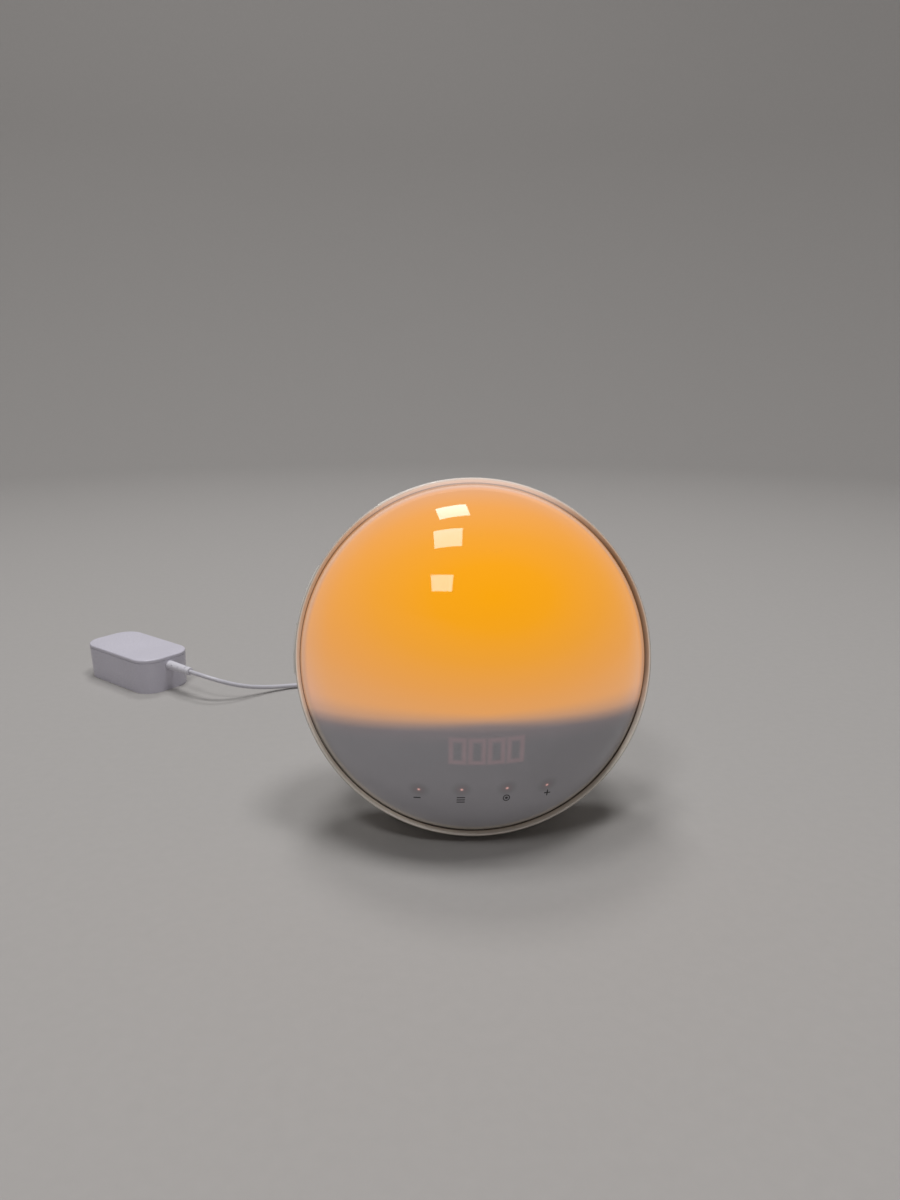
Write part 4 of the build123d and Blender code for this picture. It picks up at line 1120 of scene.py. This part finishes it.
@dataclass(frozen=True)
class MainsLead:
    """The low-voltage lead, from the plug's sleeve through the put-away coil to the adapter's sleeve.

    Its length and the route at its two ends are in metres, and its other sizes in millimetres.
    """

    radius: float = 1.6
    length: float = 1.6
    near: tuple = (
        (0.0, 0.07406, 0.020),
        (0.0, 0.0870, 0.020),
        (0.0015, 0.1015, 0.0155),
        (0.0065, 0.1175, 0.0110),
        (0.0130, 0.1335, 0.0102),
        (0.0158, 0.1500, 0.0121),
    )
    far: tuple = (
        (-0.19321, 0.18917, 0.0196),
        (-0.18429, 0.18114, 0.0196),
        (-0.1730, 0.1774, 0.0170),
        (-0.1605, 0.1792, 0.0122),
        (-0.1483, 0.1853, 0.0075),
        (-0.1338, 0.1943, 0.0036),
        (-0.1165, 0.2013, 0.0020),
        (-0.0955, 0.2030, 0.0018),
        (-0.0745, 0.1980, 0.0018),
        (-0.0560, 0.1875, 0.0019),
        (-0.0405, 0.1775, 0.0021),
        (-0.0230, 0.1727, 0.0024),
        (-0.0060, 0.1718, 0.0025),
    )
    coil_at: tuple = (-6.0, 150.0)
    middle_turn: float = 18.6
    lift: float = 0.9
    turn_points: int = 20
    full_turns: float = 11.25
    step_after: float = 0.25
    ramp: float = 1 / 6
    along_steps: int = 7
    round_steps: int = 5
    on_lead: tuple = (
        "dc_plug", "plug_tip", "cord_tie", "adapter_case", "adapter_cover", "adapter_strain_relief",
    )

    def coil(self) -> np.ndarray:
        """Control points of the put-away coil, in metres.

        The turns fill a bundle three wide and four high, layer by layer from the top, each layer the
        other way across. A turn keeps its place in the bundle, (radius, height), and moves to the next
        place by a smooth step over the first sixth of a turn behind the clock. A quadratic spline lies
        inside its control points by the cosine of half a step, so they stand out by as much.

        Returns:
            The points, one row each.
        """
        pitch = 2 * self.radius
        across = self.middle_turn + pitch * np.array([1.0, 0.0, -1.0])
        layers = self.lift + self.radius + pitch * np.array([3.0, 2.0, 1.0, 0.0])
        radii = np.concatenate([across, across[::-1], across, across[::-1]])
        places = np.stack([radii, np.repeat(layers, 3)], axis=1)
        padded = np.concatenate([places[:1], places, places[-1:]])
        turn = np.arange(1, int(self.full_turns * self.turn_points)) / self.turn_points
        phase = turn - self.step_after
        started = np.floor(phase).astype(int)
        share = np.clip((phase - started) / self.ramp, 0.0, 1.0)
        share = (share**2 * (3 - 2 * share))[:, None]
        section = padded[started + 1] * (1 - share) + padded[started + 2] * share
        radius = section[:, 0] / math.cos(math.pi / self.turn_points)
        angle = 2 * math.pi * turn
        x = self.coil_at[0] + radius * np.cos(angle)
        y = self.coil_at[1] + radius * np.sin(angle)
        return np.stack([x, y, section[:, 1]], axis=1) * MM

    def build(self) -> None:
        route = np.concatenate([np.array(self.near), self.coil(), np.array(self.far)[::-1]])
        curve = bpy.data.curves.new("supply_lead", "CURVE")
        curve.dimensions = "3D"
        spline = curve.splines.new("NURBS")
        spline.points.add(len(route) - 1)
        spline.points.foreach_set("co", np.column_stack([route, np.ones(len(route))]).ravel())
        spline.order_u = 3
        spline.use_endpoint_u = True
        spline.use_smooth = True
        curve.resolution_u = self.along_steps
        curve.bevel_depth = self.radius * MM
        curve.bevel_resolution = self.round_steps
        curve.use_fill_caps = True
        lead = put_object("supply_lead", curve)
        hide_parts("cord_near", "cord_coil", "cord_far")
        jacket = Moulded("pvc_lead_extruded", "#c6c4cc", 0.38, grain=0.9, depth=0.01, cloud=40.0)
        finish_piece(lead, Body.SUPPLY, jacket.material())


class Housing:
    """The bowl and its stand, the rim's keys and what is seen on the back and underneath."""

    def build(self) -> None:
        """Dress the nodes."""
        dress(Moulded("abs_satin_moulded", "#dad7d2", 0.42), "rear_housing", "foot_plate")
        keys = ("alarm_one_key", "alarm_two_key", "light_key", "sound_key", "snooze_bar")
        dress(Moulded("abs_key_moulded", "#dcd9d3", 0.3, grain=0.7, depth=0.006), *keys)
        dress(Moulded("silicone_feet_moulded", "#2b2a2a", 0.75, grain=0.8, depth=0.03), "rubber_feet")
        dress(Moulded("pvc_gland_moulded", "#262626", 0.55), "antenna_gland")
        dress(Metal("steel_zinc_plated", "#b9b8b4", 0.3), "foot_screws", "case_screws", "board_screws")
        dress(Moulded("nylon_socket_moulded", "#1d1d1e", 0.4), "dc_socket")


class Inside:
    """What the housing holds: lamp, reflector, display, boards and loudspeaker."""

    def build(self) -> None:
        """Dress the nodes."""
        dress(Moulded("polycarbonate_reflector", "#f0efec", 0.5), "reflector", "light_divider")
        foam = Speckled("polyurethane_foam_cut", "#3c3c3e", "#1e1e20", 0.6)
        dress(foam, "divider_gasket", "speaker_gasket")
        dress(Speckled("conductive_foam_cut", "#4a4a4c", "#2a2a2c", 0.5), "touch_pads")
        dress(SolderMask("lamp_board_white_mask", "#e9e8e4", "#d2d1cc"), "lamp_board")
        boards = ("control_board", "main_board", "switch_boards", "adapter_board")
        dress(SolderMask("glass_epoxy_green_mask", "#1f5a35", "#37784c"), *boards)
        dress(LitPart("phosphor_led_resin", "#ffc46a", 2.0), "lamp_leds")
        dress(LitPart("touch_led_resin", "#ffb7a8", 1.0), "touch_leds")
        dress(LitPart("display_bar_resin", "#ff7a5c", 0.8), "display_digits")
        dress(Metal("aluminium_extruded", "#c9cacc", 0.35, stretch=40.0), "heat_sink")
        dress(Moulded("abs_black_moulded", "#1f1f21", 0.5), "display_tray", "display_module")
        chips = ("board_chips", "key_switches", "adapter_components")
        dress(Moulded("epoxy_moulding_black", "#232325", 0.45, grain=0.3), *chips)
        dress(Moulded("capacitor_sleeve_shrunk", "#2b3550", 0.35), "board_capacitors")
        dress(Metal("steel_basket_pressed", "#8d8e90", 0.4), "speaker_frame")
        dress(Speckled("pressed_paper_cone", "#2d2b2a", "#1b1a19", 0.7, depth=0.03), "speaker_cone")
        ferrite = Speckled("sintered_ferrite", "#3a3a3d", "#29292b", 0.4, roughness=0.55, depth=0.01)
        dress(ferrite, "speaker_magnet")


class Adapter:
    """The mains adapter, its folding blades, its sleeve and the plug at the lead's other end."""

    def build(self) -> None:
        """Dress the nodes."""
        dress(Moulded("polycarbonate_case_moulded", "#ccc9d5", 0.27), "adapter_case", "adapter_cover")
        dress(Moulded("pvc_sleeve_moulded", "#d5d3db", 0.42), "adapter_strain_relief", "dc_plug")
        dress(Moulded("nylon_strap_moulded", "#d5d3d6", 0.5), "cord_tie")
        dress(Metal("brass_nickel_plated", "#cfc9bb", 0.22), "plug_tip", "adapter_blades")
        dress(Moulded("acetal_shaft_turned", "#2a2a2c", 0.4), "blade_shaft")


@dataclass(frozen=True)
class Studio:
    """Floor, lamps, world and camera.

    The sweep's sizes are millimetres. The lamps and the camera are in metres, with turns in degrees.
    """

    floor_r: float = 1700.0
    cove_r: float = 900.0
    wall_top: float = 2100.0
    sweep_steps: int = 96
    flat_steps: int = 24
    bend_steps: int = 32
    lamp_height: float = 2.4
    lamp_size: float = 0.56
    lamp_watts: float = 14.0
    lamps: tuple = ((-0.155, 1.143, 2.6), (-0.356, 0.166, -7.6), (-0.750, -1.165, -14.7))
    side_at: tuple = (0.45, -0.12)
    side_watts: float = 19.0
    ambient: float = 0.07
    camera_at: tuple = (-0.0473, -0.4436, 0.2446)
    camera_tip: float = 74.7
    camera_turn: float = -4.4
    lens: float = 26.4
    sensor: float = 36.0
    far_clip: float = 50.0

    def sweep(self) -> None:
        """Round paper sweep: a flat disc, a quarter circle of the cove's radius, then an upright wall.

        The profile (r, z) is carried round Z, so the pale ground lies behind the clock from any side.
        """
        bend = np.linspace(0.0, math.pi / 2, self.bend_steps)
        flat = np.linspace(0.0, self.floor_r, self.flat_steps)[1:-1]
        wall_r = self.floor_r + self.cove_r
        radius = np.concatenate([flat, self.floor_r + self.cove_r * np.sin(bend), [wall_r]])
        height = np.concatenate([0 * flat, self.cove_r * (1 - np.cos(bend)), [self.wall_top]])
        angle = around(self.sweep_steps)
        rings = [radius[:, None] * np.cos(angle), radius[:, None] * np.sin(angle), height[:, None]]
        points = np.stack(np.broadcast_arrays(*rings), axis=-1).reshape(-1, 3)
        ring = np.arange(self.sweep_steps)
        hub = np.stack([np.full(len(ring), len(points)), ring, (ring + 1) % len(ring)], axis=1)
        faces = [grid_faces(len(radius), len(ring), 0, wrap_rows=False), hub[:, ::-1]]
        paper = put_mesh("paper_sweep", np.concatenate([points, np.zeros((1, 3))]), faces)
        paper.data.materials.append(SweepPaper().material())

    def panel(self, name: str, x: float, y: float, turn: float, watts: float) -> bpy.types.Object:
        """Hang one square ceiling panel that faces straight down.

        Args:
            name: the lamp's name.
            x: where it hangs, from left to right.
            y: where it hangs, from front to back.
            turn: its turn about Z, in degrees.
            watts: its power.

        Returns:
            The panel.
        """
        lamp = bpy.data.lights.new(name, "AREA")
        lamp.shape = "SQUARE"
        lamp.size = self.lamp_size
        lamp.energy = watts
        panel = put_object(name, lamp)
        panel.location = (x, y, self.lamp_height)
        panel.rotation_euler = (0.0, 0.0, math.radians(turn))
        return panel

    def lights(self) -> None:
        """Three panels that the dome mirrors, and one that evens the shadow out and is not mirrored."""
        for number, (x, y, turn) in enumerate(self.lamps):
            self.panel(f"ceiling_panel_{number}", x, y, turn, self.lamp_watts)
        side = self.panel("side_panel", *self.side_at, 0.0, self.side_watts)
        side.visible_glossy = False

    def world(self) -> None:
        """A dim, even room above the sweep."""
        world = bpy.data.worlds.new("studio")
        bpy.context.scene.world = world
        world.use_nodes = True
        room = world.node_tree.nodes["Background"]
        fill(world.node_tree, room, {"Color": linear("#ffffff"), "Strength": self.ambient})

    def camera(self) -> None:
        """The camera, level and looking slightly down at the clock."""
        camera = bpy.data.cameras.new("camera")
        camera.lens = self.lens
        camera.sensor_width = self.sensor
        camera.clip_end = self.far_clip
        eye = put_object("camera", camera)
        eye.location = self.camera_at
        eye.rotation_euler = (math.radians(self.camera_tip), 0.0, math.radians(self.camera_turn))
        bpy.context.scene.camera = eye
        bpy.context.scene.view_settings.view_transform = "Standard"

    def build(self) -> None:
        """Set the whole studio up."""
        self.camera()
        self.sweep()
        self.lights()
        self.world()


def main() -> None:
    """Build the studio and every sub-assembly in order."""
    logging.basicConfig(level=logging.INFO, format="%(message)s")
    parts = (Studio(), MainsLead(), FrontDome(), BezelRing(), DialPrint(), Housing(), Inside(), Adapter())
    for part in parts:
        part.build()
        LOG.info("%s done", type(part).__name__)


if __name__ == "__main__":
    main()
